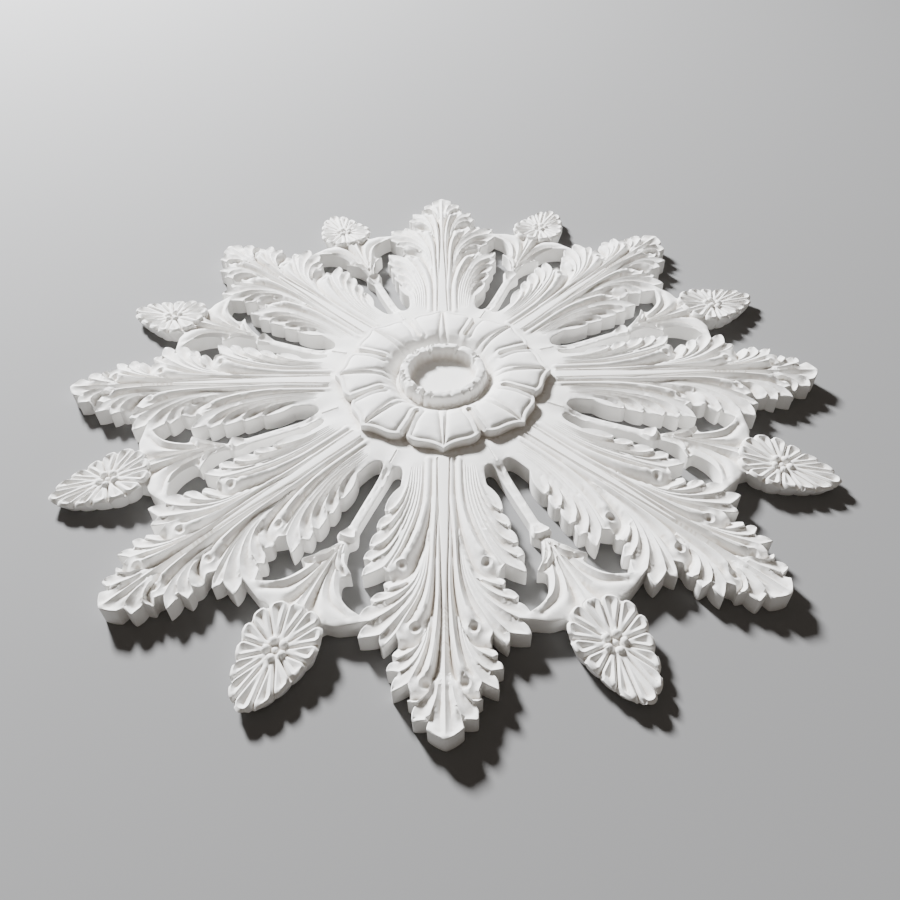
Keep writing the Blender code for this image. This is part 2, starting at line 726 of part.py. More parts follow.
def heights_at(spots, relief):
    """The height in metres of each place of the top surface."""
    heights = carved_heights(spots, relief)
    near = STEP_WIDTH / 2
    for index, (x, y) in enumerate(spots):
        radius = math.hypot(x, y)
        degrees = math.degrees(math.atan2(x, y))
        if radius <= BOSS_RADIUS * petal_edge_share(degrees) + near:
            heights[index] = boss_height(radius, degrees) - boss_carving(x, y)
            continue
        if radius < ROSE_RADIUS * (FLOWER_CENTRE - FLOWER_IN - 0.03):
            continue
        turn, share, petal = flower_spot(x, y)
        if share <= flower_edge_share(petal) + near / (ROSE_RADIUS * FLOWER_HALF_WIDTH):
            heights[index] = LEAF_THICKNESS * flower_height(turn, min(share, 1.0), petal)
    return heights


def stem_place_of(place):
    """Where a place seen from the leaf's middle lies from the stem's middle."""
    across, along = place
    return (
        along * math.sin(SECTOR) - across * math.cos(SECTOR),
        along * math.cos(SECTOR) + across * math.sin(SECTOR),
    )


def flower_rows(places, grow=0.0):
    rows = []
    for turn, petal in places:
        share = flower_edge_share(petal)
        side, along = flower_place(turn, share + grow)
        rows.append(stem_point(side, along, flower_height(turn, share, petal)))
    return np.array(rows)


def joined(*runs):
    """Runs of rows end to end, with each shared point kept once."""
    kept = [runs[0]]
    for run in runs[1:]:
        same = np.hypot(*(run[0, :2] - kept[-1][-1, :2])) < SAME_POINT
        kept.append(run[1:] if same else run)
    return np.vstack(kept)


def sector_outline(relief):
    """The slot's loop and the outer run of half a leaf and half a stem, as thinned rows of metres."""
    edge = leaf_edge()
    join_tip = LOBES[1]["fingers"][2][0]
    join_notch = LOBES[1]["fingers"][2][1]
    slot_run, outer_run = leaf_edge_parts(edge, join_tip, join_notch)
    start = (*stem_place_of(LOBES[0]["start"]), 0.98)
    slot_end = along_stem((start, *SLOT_END))
    rod = along_stem(ROD_EDGE)
    knot = np.array([stem_point(*row) for row in KNOT_EDGE])
    bract = along_stem(BRACT_EDGE)
    arm_inner = along_stem((*ARM_INNER, (*stem_place_of(join_tip), 1.0)))
    places = flower_edge()
    outer_places = places[: FLOWER_JOIN * FLOWER_PIECES + 1]
    inner_places = places[FLOWER_JOIN * FLOWER_PIECES :]
    flower = flower_rows(outer_places)
    flower_top = flower_rows(inner_places)
    flower_foot = flower_rows(inner_places, STEP_WIDTH / (ROSE_RADIUS * FLOWER_IN))
    foot_start = drawing_of(flower_foot[0], ARM_FOOT_HEIGHT)
    arm_outer = along_stem((foot_start, *ARM_OUTER, (*stem_place_of(join_notch), 1.0)))
    for rows in (*slot_run, *outer_run):
        relief.add_high(rows, draw=False)
    for rows in (arm_inner, arm_outer):
        relief.add_high(rows, 0.3, draw=False)
    for rows in (slot_end, rod, knot, bract):
        relief.add_low(rows, 0.4, draw=False)
    slot = joined(*(thinned(rows, EDGE_ERROR) for rows in (*slot_run, arm_inner[::-1], bract[::-1])))
    slot = joined(slot, *(thinned(rows, EDGE_ERROR) for rows in (knot[::-1], rod[::-1], slot_end[::-1])))
    thin_flower = split_thinned(flower, FLOWER_PIECES)
    leaf_side = joined(*(thinned(rows, EDGE_ERROR) for rows in (*(r[::-1] for r in outer_run[::-1]), arm_outer[::-1])))
    outer = joined(leaf_side, thin_flower[::-1])
    step_lines = [split_thinned(rows, FLOWER_PIECES) for rows in (flower_top, flower_foot)]
    return slot[:-1], outer, len(leaf_side), step_lines


def split_thinned(rows, pieces):
    """Rows thinned between their fixed points, which come every few pieces."""
    parts = [rows[start : start + pieces + 1] for start in range(0, len(rows) - 1, pieces)]
    return joined(*(thinned(part, EDGE_ERROR) for part in parts))


def drawing_of(row, height):
    side, along = stem_place_of(across_share(row[0], row[1]))
    return side, along, height


def leaf_edge_parts(edge, join_tip, join_notch):
    """The leaf's edge before the stem's arm meets it, and after."""
    tip = np.array(placed(*join_tip))
    notch = np.array(placed(*join_notch))
    ends = [np.hypot(*(rows[-1, :2] - tip)) < SAME_POINT for rows in edge]
    starts = [np.hypot(*(rows[0, :2] - notch)) < SAME_POINT for rows in edge]
    return edge[: ends.index(True) + 1], edge[starts.index(True) :]


def sector_top(relief, outer, slot, step_lines):
    """Points and triangles of the carved face of one sector."""
    plan = Plan()
    plan.line(outer)
    plan.line(np.vstack([slot, slot[:1]]))
    plan.line(np.array([[0.0, 0.0], [0.0, ROSE_RADIUS]]))
    plan.line(np.array([[0.0, 0.0], outer[-1][:2]]))
    for line in boss_lines():
        plan.line(np.array(line))
    for rows in (*step_lines, *flower_lines()):
        plan.line(rows)
    for rows in relief.drawn:
        plan.line(thinned(rows, STROKE_ERROR))
    loops = [np.vstack([[[0.0, 0.0]], outer[:, :2]]), slot[:, :2]]
    spots, faces = triangulated(plan, loops)
    return np.column_stack([spots, heights_at(spots, relief)]), faces


def tucked(rows, first_flower):
    """Where the edge points meet the flat back: the flower, the last run of rows, draws in towards it."""
    back = np.array(rows, float)
    centre = np.array(stem_point(0.0, FLOWER_CENTRE, 0.0)[:2])
    back[first_flower:, :2] = centre + (back[first_flower:, :2] - centre) * FLOWER_UNDERCUT
    back[:, 2] = 0.0
    return back


def sector_mesh():
    """Points and triangles of one sector of the casting, open along its two cut sides."""
    relief = draw_relief()
    slot, outer, leaf_rows, step_lines = sector_outline(relief)
    top, top_faces = sector_top(relief, outer, slot, step_lines)
    outer_back = tucked(outer, leaf_rows)
    slot_back = tucked(slot, len(slot))
    plan = Plan()
    plan.line(outer_back)
    plan.line(np.vstack([slot_back, slot_back[:1]]))
    plan.line(np.array([[0.0, 0.0], outer_back[0, :2]]))
    plan.line(np.array([[0.0, 0.0], outer_back[-1, :2]]))
    loops = [np.vstack([[[0.0, 0.0]], outer_back[:, :2]]), slot_back[:, :2]]
    back_spots, back_faces = triangulated(plan, loops)
    back = np.column_stack([back_spots, np.zeros(len(back_spots))])
    points = [tuple(row) for row in np.vstack([top, back])]
    faces = [tuple(face) for face in top_faces]
    faces += [tuple(face[::-1] + len(top)) for face in back_faces]
    add_wall(points, faces, outer[::-1], outer_back[::-1], top, loop=False)
    add_wall(points, faces, slot, slot_back, top, loop=True)
    return np.array(points), faces


def add_wall(points, faces, face_rows, back_rows, top, loop):
    """The upright edge between the carved face and the back, along one run of the outline."""
    count = len(face_rows)
    for index in range(count if loop else count - 1):
        ends = (index, (index + 1) % count)
        corners = [top[nearest_index(top, face_rows[end])] for end in ends]
        corners += [back_rows[end] for end in ends[::-1]]
        first = len(points)
        points.extend(tuple(corner) for corner in corners)
        faces.append((first + 3, first + 2, first + 1, first))


def nearest_index(top, row):
    return int(np.hypot(top[:, 0] - row[0], top[:, 1] - row[1]).argmin())


def whole_mesh(name):
    """All sixteen sectors welded into one closed mesh."""
    points, faces = sector_mesh()
    mesh = bmesh.new()
    for leaf in range(LEAVES):
        turn = 2 * math.pi * leaf / LEAVES
        for side in (1, -1):
            x = points[:, 0] * side
            y = points[:, 1]
            turned = np.stack([x * math.cos(turn) - y * math.sin(turn), x * math.sin(turn) + y * math.cos(turn)])
            made = [mesh.verts.new((*turned[:, index], points[index, 2])) for index in range(len(points))]
            for face in faces:
                mesh.faces.new([made[index] for index in (face if side == 1 else face[::-1])])
    bmesh.ops.remove_doubles(mesh, verts=mesh.verts, dist=WELD)
    bmesh.ops.triangulate(mesh, faces=mesh.faces)
    data = bpy.data.meshes.new(name)
    mesh.to_mesh(data)
    mesh.free()
    return data


def plaster():
    material = bpy.data.materials.new("white_plaster")
    material.use_nodes = True
    shader = material.node_tree.nodes["Principled BSDF"]
    shader.inputs["Base Color"].default_value = (0.86, 0.85, 0.83, 1.0)
    shader.inputs["Roughness"].default_value = 0.78
    shader.inputs["Metallic"].default_value = 0.0
    return material


def build():
    for old in list(bpy.data.objects):
        bpy.data.objects.remove(old)
    rose = bpy.data.objects.new("rose_casting", whole_mesh("rose_casting"))
    bpy.context.scene.collection.objects.link(rose)
    rose.data.materials.append(plaster())
    rose.data.set_sharp_from_angle(angle=math.radians(28))


build()
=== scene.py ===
"""A cast plaster ceiling rose: the finely carved casting, its bare plaster and the studio floor it lies on.

Half a leaf and half a stem are drawn once, in a sixteenth of the circle. Places in the drawing are shares
of the rose's radius and heights are shares of the leaf's thickness, so the carving follows both sizes.
"""

import math

import bpy
import numpy as np
from bpy.props import FloatProperty, FloatVectorProperty, PointerProperty
from mathutils import Matrix, Vector
from mathutils.geometry import delaunay_2d_cdt


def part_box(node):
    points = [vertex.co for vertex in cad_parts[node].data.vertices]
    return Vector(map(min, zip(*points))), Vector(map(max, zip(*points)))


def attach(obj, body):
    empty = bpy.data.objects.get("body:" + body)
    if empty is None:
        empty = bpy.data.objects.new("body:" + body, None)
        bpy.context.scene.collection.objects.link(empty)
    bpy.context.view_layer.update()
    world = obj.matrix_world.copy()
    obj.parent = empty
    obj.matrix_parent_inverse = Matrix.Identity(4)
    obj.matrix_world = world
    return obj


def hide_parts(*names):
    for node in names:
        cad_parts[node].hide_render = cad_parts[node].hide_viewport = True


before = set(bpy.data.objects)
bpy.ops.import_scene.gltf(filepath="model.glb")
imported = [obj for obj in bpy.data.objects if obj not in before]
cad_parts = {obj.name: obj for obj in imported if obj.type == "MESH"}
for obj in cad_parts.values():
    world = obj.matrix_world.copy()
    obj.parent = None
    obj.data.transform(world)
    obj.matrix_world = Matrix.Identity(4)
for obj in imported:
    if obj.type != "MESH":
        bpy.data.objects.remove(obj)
SOLID_LOW, SOLID_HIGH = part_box("rose_casting")

bl_info = {
    "name": "Plaster ceiling rose",
    "version": (1, 0, 0),
    "blender": (4, 5, 0),
    "location": "3D View > Sidebar > Ceiling rose",
    "description": "Builds a pierced plaster ceiling rose with leaves, flowers and a petalled boss",
    "category": "Object",
}

LEAVES = 8
SECTOR = math.pi / LEAVES  # from a leaf's middle to the next stem's middle
HALF_TURN = 180.0 / LEAVES

# The lobes of half a leaf, as places (across, along). A finger is its tip and its arris, the ridge that
# runs from the leaf's root to the notch after that tip. The rim is one more ridge beside the crease, and
# the crease lies under the lobe's pipe. The foot is the bottom of the step between the pipe and the next
# lobe. The lip closes the lobe on the outline. The eye is the middle of the dimple at the pipe's end, with
# a second place, which it opens towards.
LOBES = (
    {
        "start": (0.1, 0.388),
        "hollow": ((0.085, 0.355), (0.09, 0.385), (0.098, 0.412), (0.11, 0.438), (0.127, 0.455)),
        "fingers": (
            (
                (0.134, 0.459),
                (
                    (0.079, 0.352), (0.0835, 0.385), (0.09, 0.412), (0.099, 0.437), (0.111, 0.455),
                    (0.1275, 0.467),
                ),
            ),
            (
                (0.15, 0.506),
                (
                    (0.0735, 0.345), (0.0765, 0.385), (0.0815, 0.415), (0.0895, 0.445), (0.102, 0.475),
                    (0.119, 0.5), (0.1425, 0.514),
                ),
            ),
            (
                (0.163, 0.557),
                (
                    (0.068, 0.338), (0.07, 0.385), (0.0745, 0.42), (0.082, 0.455), (0.093, 0.49),
                    (0.109, 0.524), (0.129, 0.549), (0.153, 0.563),
                ),
            ),
            (
                (0.174, 0.592),
                (
                    (0.062, 0.332), (0.0635, 0.385), (0.068, 0.425), (0.0755, 0.465), (0.087, 0.505),
                    (0.104, 0.548), (0.126, 0.58), (0.158, 0.601),
                ),
            ),
            (
                (0.1735, 0.639),
                (
                    (0.056, 0.326), (0.057, 0.385), (0.061, 0.43), (0.069, 0.475), (0.08, 0.515),
                    (0.0955, 0.558), (0.112, 0.592), (0.129, 0.619),
                ),
            ),
        ),
        "rim": (
            (0.0505, 0.32), (0.0515, 0.385), (0.056, 0.44), (0.065, 0.487), (0.079, 0.535),
            (0.095, 0.575), (0.107, 0.598), (0.116, 0.618),
        ),
        "crease": (
            (0.045, 0.315), (0.046, 0.385), (0.05, 0.44), (0.06, 0.49), (0.074, 0.535), (0.09, 0.575),
            (0.101, 0.596), (0.1075, 0.609),
        ),
        "pipe": (
            (0.038, 0.305), (0.0385, 0.38), (0.0405, 0.44), (0.0475, 0.49), (0.0575, 0.53),
            (0.07, 0.565), (0.0815, 0.59),
        ),
        "foot": (
            (0.0265, 0.305), (0.027, 0.4), (0.029, 0.45), (0.033, 0.49), (0.043, 0.55), (0.053, 0.588),
            (0.062, 0.613), (0.074, 0.633), (0.088, 0.6425), (0.102, 0.6445),
        ),
        "lip": ((0.1185, 0.6355), (0.1265, 0.6235)),
        "eye": ((0.0905, 0.614), (0.088, 0.634)),
    },
    {
        "start": (0.112, 0.643),
        "fingers": (
            ((0.1275, 0.66), ((0.072, 0.652), (0.096, 0.668), (0.121, 0.676))),
            (
                (0.153, 0.696),
                (
                    (0.044, 0.59), (0.052, 0.625), (0.064, 0.655), (0.084, 0.68), (0.108, 0.698),
                    (0.128, 0.704), (0.145, 0.707),
                ),
            ),
            (
                (0.1735, 0.736),
                (
                    (0.04, 0.58), (0.048, 0.63), (0.059, 0.665), (0.076, 0.693), (0.098, 0.718),
                    (0.123, 0.737), (0.152, 0.752),
                ),
            ),
            (
                (0.172, 0.788),
                (
                    (0.036, 0.57), (0.042, 0.625), (0.052, 0.668), (0.067, 0.705), (0.086, 0.735),
                    (0.107, 0.762), (0.129, 0.785),
                ),
            ),
            (
                (0.123, 0.81),
                (
                    (0.032, 0.56), (0.0375, 0.625), (0.0465, 0.672), (0.059, 0.708), (0.075, 0.74),
                    (0.087, 0.765), (0.0955, 0.7815),
                ),
            ),
        ),
        "crease": (
            (0.0277, 0.43), (0.028, 0.47), (0.0288, 0.51), (0.0303, 0.56), (0.035, 0.625),
            (0.043, 0.675), (0.053, 0.71), (0.064, 0.738), (0.0735, 0.756), (0.0755, 0.77),
        ),
        "pipe": (
            (0.019, 0.305), (0.019, 0.335), (0.0182, 0.4), (0.019, 0.45), (0.0215, 0.5), (0.0245, 0.56),
            (0.0275, 0.62), (0.033, 0.68), (0.041, 0.72), (0.05, 0.75),
        ),
        "foot": (
            (0.0125, 0.43), (0.014, 0.47), (0.0163, 0.52), (0.0178, 0.57), (0.0185, 0.62),
            (0.0205, 0.675), (0.025, 0.722), (0.031, 0.757), (0.04, 0.783), (0.051, 0.8), (0.064, 0.807),
            (0.079, 0.8085),
        ),
        "lip": ((0.089, 0.799), (0.0945, 0.7875)),
        "eye": ((0.058, 0.7715), (0.057, 0.796)),
    },
    {
        "start": (0.0925, 0.81),
        "fingers": (
            (
                (0.102, 0.829),
                ((0.038, 0.775), (0.048, 0.805), (0.064, 0.824), (0.082, 0.834), (0.0985, 0.839)),
            ),
            ((0.113, 0.86), ((0.033, 0.76), (0.039, 0.8), (0.052, 0.835), (0.07, 0.857), (0.089, 0.866))),
            (
                (0.1015, 0.9045),
                ((0.0285, 0.745), (0.0345, 0.8), (0.046, 0.842), (0.059, 0.87), (0.07, 0.89)),
            ),
        ),
        "crease": (
            (0.0183, 0.6), (0.0176, 0.65), (0.0192, 0.705), (0.024, 0.76), (0.032, 0.815), (0.042, 0.85),
            (0.052, 0.874), (0.054, 0.884),
        ),
        "pipe": (
            (0.0122, 0.48), (0.0128, 0.53), (0.0128, 0.58), (0.012, 0.64), (0.0122, 0.69),
            (0.0142, 0.74), (0.018, 0.79), (0.024, 0.835), (0.031, 0.868),
        ),
        "foot": (
            (0.0147, 0.305), (0.0142, 0.36), (0.0131, 0.4), (0.0113, 0.46), (0.0106, 0.5), (0.009, 0.56),
            (0.0075, 0.61), (0.0065, 0.69), (0.0075, 0.76), (0.0095, 0.8), (0.013, 0.84), (0.019, 0.872),
            (0.027, 0.896), (0.038, 0.9125), (0.051, 0.917),
        ),
        "lip": ((0.0635, 0.9075), (0.069, 0.8955)),
        "eye": ((0.0372, 0.891), (0.038, 0.908)),
    },
    {
        "start": (0.066, 0.915),
        "fingers": (
            ((0.0715, 0.921), ((0.02, 0.885), (0.033, 0.912), (0.056, 0.931))),
            ((0.0605, 0.962), ((0.011, 0.87), (0.017, 0.92), (0.032, 0.962))),
        ),
    },
)
LEAF_SHOULDER = (0.0345, 0.9790)
APEX_HOLLOW = ((0.0060, 0.900), (0.0100, 0.945), (0.0110, 0.982))
BAND_EDGE = (
    (0.012, 0.3), (0.0104, 0.4), (0.0088, 0.46), (0.0078, 0.5), (0.006, 0.57), (0.0036, 0.65),
    (0.0014, 0.72),
)
BAND_HEIGHT = 1.115

# Heights on a leaf, as (share of the line's length, height)
ARRIS = ((0.0, 1.03), (0.35, 1.06), (0.75, 1.09), (1.0, 1.00))
RISING_ARRIS = ((0.0, 0.93), (0.22, 1.03), (0.75, 1.09), (1.0, 1.00))
CREASE = ((0.0, 1.00), (0.30, 0.93), (0.80, 0.84), (1.0, 0.94))
RISING_PIPE = ((0.0, 0.97), (0.2, 1.08), (0.4, 1.12), (0.80, 1.19), (1.0, 1.21))
PIPE = ((0.0, 1.10), (0.40, 1.12), (0.80, 1.19), (1.0, 1.21))
FOOT = ((0.0, 0.98), (0.35, 0.93), (0.62, 0.82), (0.85, 0.70), (1.0, 0.70))
NOTCH_FOOT = ((0.0, 1.02), (0.5, 0.90), (1.0, 0.79))
FINGER_RISE = ((0.0, 0.84), (0.40, 0.94), (1.0, 0.97))
FLUTE_DEPTH = 7.0  # of a flute, for each share of the radius between its two ridges
DEEPEST_FLUTE = 0.22
FLUTE_START = 0.300
FLUTE_FADE = 0.06
FLUTE_SIDES = (0.58, 0.42)  # where a flute runs between its two ridges
FINGER_REACH = (0.84, 0.16)  # how near a flute's end comes to the finger's tip
FINGER_LIFT = 0.08
ROOT_LENGTH = 0.025  # how far the first lobe's ridges are led back to fade out beside the boss
EDGE_TIP = 0.97
EDGE_NOTCH = 1.00
STEP_FOOT = 0.70
STEP_RUN = 0.0036  # plan width of the steep foot of a pipe
NOTCH_RUN = 0.0020  # how far the foot under a notch lies from its arris
NOTCH_LENGTH = 0.027
EYE_DEPTH = 0.17
EYE_RING_HEIGHT = 1.14
EYE_RING_RISE = 0.10  # the most that an eye's rim stands over the leaf around it
EYE_RADIUS = 0.0140
EYE_OPENING = 0.4  # how much shallower an eye is on the side that it opens towards
EYE_LINES = (0.30, 0.60, 0.92, 1.32)
EYE_CLEARANCE = 1.9  # how far the lines beside a pipe stop short of its eye, in shares of the eye's radius

# The stem's half, as (across, along, height), seen from its own middle line
SLOT_END = (
    (0.0455, 0.362, 0.98), (0.037, 0.345, 0.98), (0.0255, 0.338, 0.96), (0.0155, 0.341, 0.9),
    (0.0115, 0.352, 0.82),
)
ROD_EDGE = ((0.0115, 0.352, 0.82), (0.0112, 0.400, 0.54), (0.0105, 0.530, 0.50))
KNOT_EDGE = ((0.0105, 0.530, 0.50), (0.0235, 0.560, 0.56), (0.0225, 0.571, 0.56), (0.0110, 0.582, 0.54))
BRACT_EDGE = ((0.011, 0.582, 0.6), (0.019, 0.608, 0.76), (0.035, 0.636, 0.86), (0.062, 0.66, 0.84))
ARM_INNER = (
    (0.062, 0.66, 0.7), (0.044, 0.671, 0.76), (0.05, 0.693, 0.84), (0.066, 0.718, 0.9),
    (0.09, 0.737, 0.94),
)
ARM_OUTER = ((0.065, 0.786, 0.8), (0.09, 0.783, 0.84), (0.115, 0.77, 0.9))
ARM_FOOT_HEIGHT = 0.80  # of the arm's outer edge where it leaves the flower
# Each with its roundness: the rod's rims, the knot, the leaf's two rims, the arm's two and the neck's
STEM_RIDGES = (
    (((0.003, 0.292, 1.05), (0.003, 0.335, 0.97)), 0.2),
    (((0.0075, 0.338, 0.95), (0.0078, 0.365, 0.76), (0.0078, 0.4, 0.66), (0.0074, 0.53, 0.64)), 0.3),
    (
        (
            (0.0074, 0.53, 0.64), (0.0125, 0.55, 0.74), (0.018, 0.564, 0.8), (0.01, 0.5695, 0.85),
            (0.0, 0.571, 0.87),
        ),
        0.2,
    ),
    (
        (
            (0.005, 0.585, 0.66), (0.011, 0.6, 0.77), (0.019, 0.6165, 0.87), (0.033, 0.635, 0.92),
            (0.056, 0.654, 0.88),
        ),
        0.2,
    ),
    (
        (
            (0.0015, 0.59, 0.74), (0.005, 0.606, 0.82), (0.01, 0.622, 0.89), (0.018, 0.637, 0.93),
            (0.03, 0.647, 0.93),
        ),
        0.2,
    ),
    (
        (
            (0.025, 0.658, 0.86), (0.0325, 0.68, 0.92), (0.0445, 0.705, 0.97), (0.065, 0.728, 1.0),
            (0.105, 0.747, 0.99),
        ),
        0.4,
    ),
    (
        (
            (0.0095, 0.648, 0.82), (0.0165, 0.69, 0.88), (0.0275, 0.725, 0.92), (0.045, 0.751, 0.94),
            (0.095, 0.766, 0.93),
        ),
        0.6,
    ),
    (
        (
            (0.003, 0.612, 0.84), (0.0032, 0.66, 0.88), (0.0045, 0.71, 0.93), (0.0065, 0.745, 0.96),
            (0.009, 0.768, 0.98),
        ),
        0.2,
    ),
)
STEM_HOLLOWS = (
    (((0.0, 0.29, 0.99), (0.0, 0.335, 0.91)), 0.2),
    (((0.0, 0.345, 0.86), (0.0, 0.38, 0.6), (0.0, 0.53, 0.58), (0.0, 0.556, 0.66)), 0.7),
    (((0.0, 0.5775, 0.6), (0.006, 0.5765, 0.58), (0.011, 0.576, 0.54)), 0.0),
    (((0.0035, 0.592, 0.66), (0.009, 0.61, 0.68), (0.018, 0.6275, 0.72), (0.033, 0.6425, 0.78)), 0.7),
    (
        (
            (0.001, 0.604, 0.64), (0.005, 0.625, 0.66), (0.011, 0.642, 0.66), (0.022, 0.653, 0.68),
            (0.044, 0.661, 0.68),
        ),
        0.0,
    ),
    (
        (
            (0.0175, 0.656, 0.64), (0.0245, 0.685, 0.7), (0.037, 0.714, 0.76), (0.058, 0.739, 0.8),
            (0.1, 0.757, 0.84),
        ),
        0.5,
    ),
    (((0.0058, 0.65, 0.56), (0.01, 0.7, 0.58), (0.017, 0.74, 0.64), (0.027, 0.768, 0.72)), 0.7),
    (((0.0, 0.625, 0.78), (0.0, 0.66, 0.8), (0.0, 0.72, 0.87), (0.0, 0.765, 0.92)), 0.5),
)

# The flower
FLOWER_CENTRE = 0.8705
FLOWER_OUT = 0.1370
FLOWER_IN = 0.1020
FLOWER_HALF_WIDTH = 0.0800
FLOWER_POINTING = 0.11
FLOWER_PETALS = 14
FLOWER_JOIN = 11  # the gap where the stem's arm meets the flower, in half petals from the outer point
PETAL_NOTCH = 0.070
FLOWER_TIP_HEIGHT = 0.66
FLOWER_NECK_HEIGHT = 1.12
FLOWER_HEART = 0.24
SPOON_DEPTH = 0.20
SPOON_SLOPE = 0.0170  # plan width of the slope from a petal's raised rim to its hollow
PETAL_RIM = 0.0064  # from a petal's border in to the crest of its raised rim
PETAL_CORNER = 0.0150
PETAL_GROOVE = 0.22
HEART_DROP = 0.16
BEAD_RING = 0.0185
BEAD_RADIUS = 0.0093
CENTRE_BEAD = 0.0068
BEADS = 5
BEAD_DISC = 0.0280
BEAD_SPACING = 0.0023
HEART_DISH = 0.14
PETAL_LINES = (0.0, 0.0022, PETAL_RIM, 0.0130)
FLOWER_UNDERCUT = 0.86  # the flower's back outline as a share of its face
FLOWER_BRIM = 0.0035  # how far the flower's own height is kept past its free edge

# The boss and its collar
PETAL_EDGE = (
    (0.0, 0.287), (3.2, 0.2765), (6.0, 0.271), (9.0, 0.2685), (12.5, 0.268), (15.5, 0.2665),
    (18.0, 0.262), (20.0, 0.256), (21.5, 0.249), (22.5, 0.243),
)
COLLAR_FOOT = 0.1260
COLLAR_RIM_HEIGHT = 1.70
PETAL_FOOT_HEIGHT = 0.90
PETAL_CREST_HEIGHT = 1.625
PETAL_EDGE_HEIGHT = 1.44
PETAL_RISE = ((0.0, 0.0), (0.10, 0.42), (0.22, 0.80), (0.36, 0.97), (0.50, 1.0))
PETAL_FALL = ((0.50, 0.0), (0.68, 0.11), (0.86, 0.53), (1.0, 1.0))
BORDER_WIDTH = 0.0105
BORDER_GROOVE = 0.06
BORDER_SLANT = 0.96  # a border's width across the petal, for its width along the radius
GROOVE_WIDTH = 0.0024
PANEL_BULGE = 0.07
PANEL_SHOULDER = 0.012
PANEL_START = 0.142
RIB = ((0.150, 0.0105), (0.215, 0.0068), (0.272, 0.0022))  # (radius, half width)
RIB_GROOVE = 0.10
RIB_GROOVE_WIDTH = 0.0032
RIB_CREST = 0.05
TEARDROP_END = 0.1710  # where the round inner end of the hollow between two petals is centred
TEARDROP = ((0.171, 0.0082), (0.205, 0.0062), (0.243, 0.0100))  # (radius, half width)
TEARDROP_DEPTH = 0.17
TEARDROP_SLOPE = 0.0034

# The unevenness of the cast, with depths in shares of the leaf's thickness
CAST_SEED = 11
CRIMPS = 88  # small dents round the collar's rim
CRIMP_DEPTH = 0.28
CRIMP_SHIFT = 0.35  # how far a crimp strays from its even place, as a share of the way to the next
CRIMP_WIDTHS = (0.6, 1.3)  # in degrees
TORN_AT = -152.0  # the torn spot's place and width on the rim, in degrees
TORN_WIDTH = 2.2
TORN_DEPTH = 1.6  # against 1 for the deepest crimp
RIM_SWELL = 0.035
WAVES = 3
WAVE_SIZE = 0.0011
WAVE_LIFT = 0.012

# The mesh
STEP_WIDTH = 0.0010  # plan width of the steep edges under petals and flowers
EDGE_ERROR = 0.0003
LONGEST_EDGE = 0.0085
STROKE_ERROR = 0.0005
LONGEST_STROKE = 0.0100
SAME_POINT = 0.0005
SLIVER = 0.000002
STEEPNESS = 20.0  # turns a share of the radius into the same length as a share of the leaf's thickness
ROW_STEP = 0.866  # between rows of points that lie in even triangles
EDGE_CLEARANCE = 0.0022
STROKE_JOIN = 0.007  # the longest way over which a line that was cut is led on to the outline
LATTICE_CLEARANCE = 0.62
GAP_POWER = 1.3
ROUND_TOP_POWER = 2.6

# The floor, the lights and the camera, with angles in degrees
KEY_SIZE = 0.9
KEY_COLOUR = (0.97, 0.98, 1.0)
KEY_AZIMUTH, KEY_ELEVATION, KEY_DISTANCE = 214.0, 32.0, 5.2
FILL_COLOUR = (1.0, 0.90, 0.80, 1.0)
SENSOR_WIDTH = 36.0
LENS = 31.44
CAMERA_TARGET = (0.016, -0.274)  # in shares of the radius, as is the distance
CAMERA_AZIMUTH, CAMERA_ELEVATION, CAMERA_ROLL = 0.53, 44.82, -1.64
CAMERA_DISTANCE = 1.905
FLOOR_REACH = 12.0
FLOOR_DROP = 0.0005


# Curves of the drawing


def smooth_curve(points, pieces=12):
    """A curve through all the points, as rows of an array."""
    rows = np.array(points, float)
    padded = np.vstack([2 * rows[0] - rows[1], rows, 2 * rows[-1] - rows[-2]])
    made = []
    for before, start, end, after in zip(padded, padded[1:], padded[2:], padded[3:]):
        for step in range(pieces):
            t = step / pieces
            bend = (2 * before - 5 * start + 4 * end - after) * t**2
            turn = (3 * start - before - 3 * end + after) * t**3
            made.append(0.5 * (2 * start + (end - before) * t + bend + turn))
    made.append(rows[-1])
    return np.array(made)


def bowed_edge(start, end, bow, pieces=10):
    """A line from start to end, bowed to its left by a share of its length."""
    start, end = np.array(start), np.array(end)
    run = end - start
    control = (start + end) / 2 + bow * 2 * np.array([-run[1], run[0]])
    t = np.linspace(0.0, 1.0, pieces + 1)[:, None]
    return (1 - t) ** 2 * start + 2 * (1 - t) * t * control + t**2 * end


def eased(share):
    """A share from 0 to 1 that starts and ends slowly."""
    share = np.clip(share, 0.0, 1.0)
    return share * share * (3 - 2 * share)


def raised(path, heights):
    """A path in the drawing with a height at each of its places."""
    return np.column_stack([np.array(path, float), np.broadcast_to(heights, len(path))])


def stem_rows(rows):
    """Rows seen from the stem's middle, turned to the leaf's side of the drawing."""
    rows = np.array(rows, float)
    side, along = rows[:, 0].copy(), rows[:, 1].copy()
    rows[:, 0] = along * math.sin(SECTOR) - side * math.cos(SECTOR)
    rows[:, 1] = along * math.cos(SECTOR) + side * math.sin(SECTOR)
    return rows


def stem_curve(points):
    """A curve through points seen from the stem's middle, turned to the leaf's side."""
    return stem_rows(smooth_curve(points))


def from_stem(place, height):
    """A place on the leaf as the stem sees it, with a height. The two views mirror each other."""
    return (*stem_rows([(*place, 0.0)])[0, :2], height)


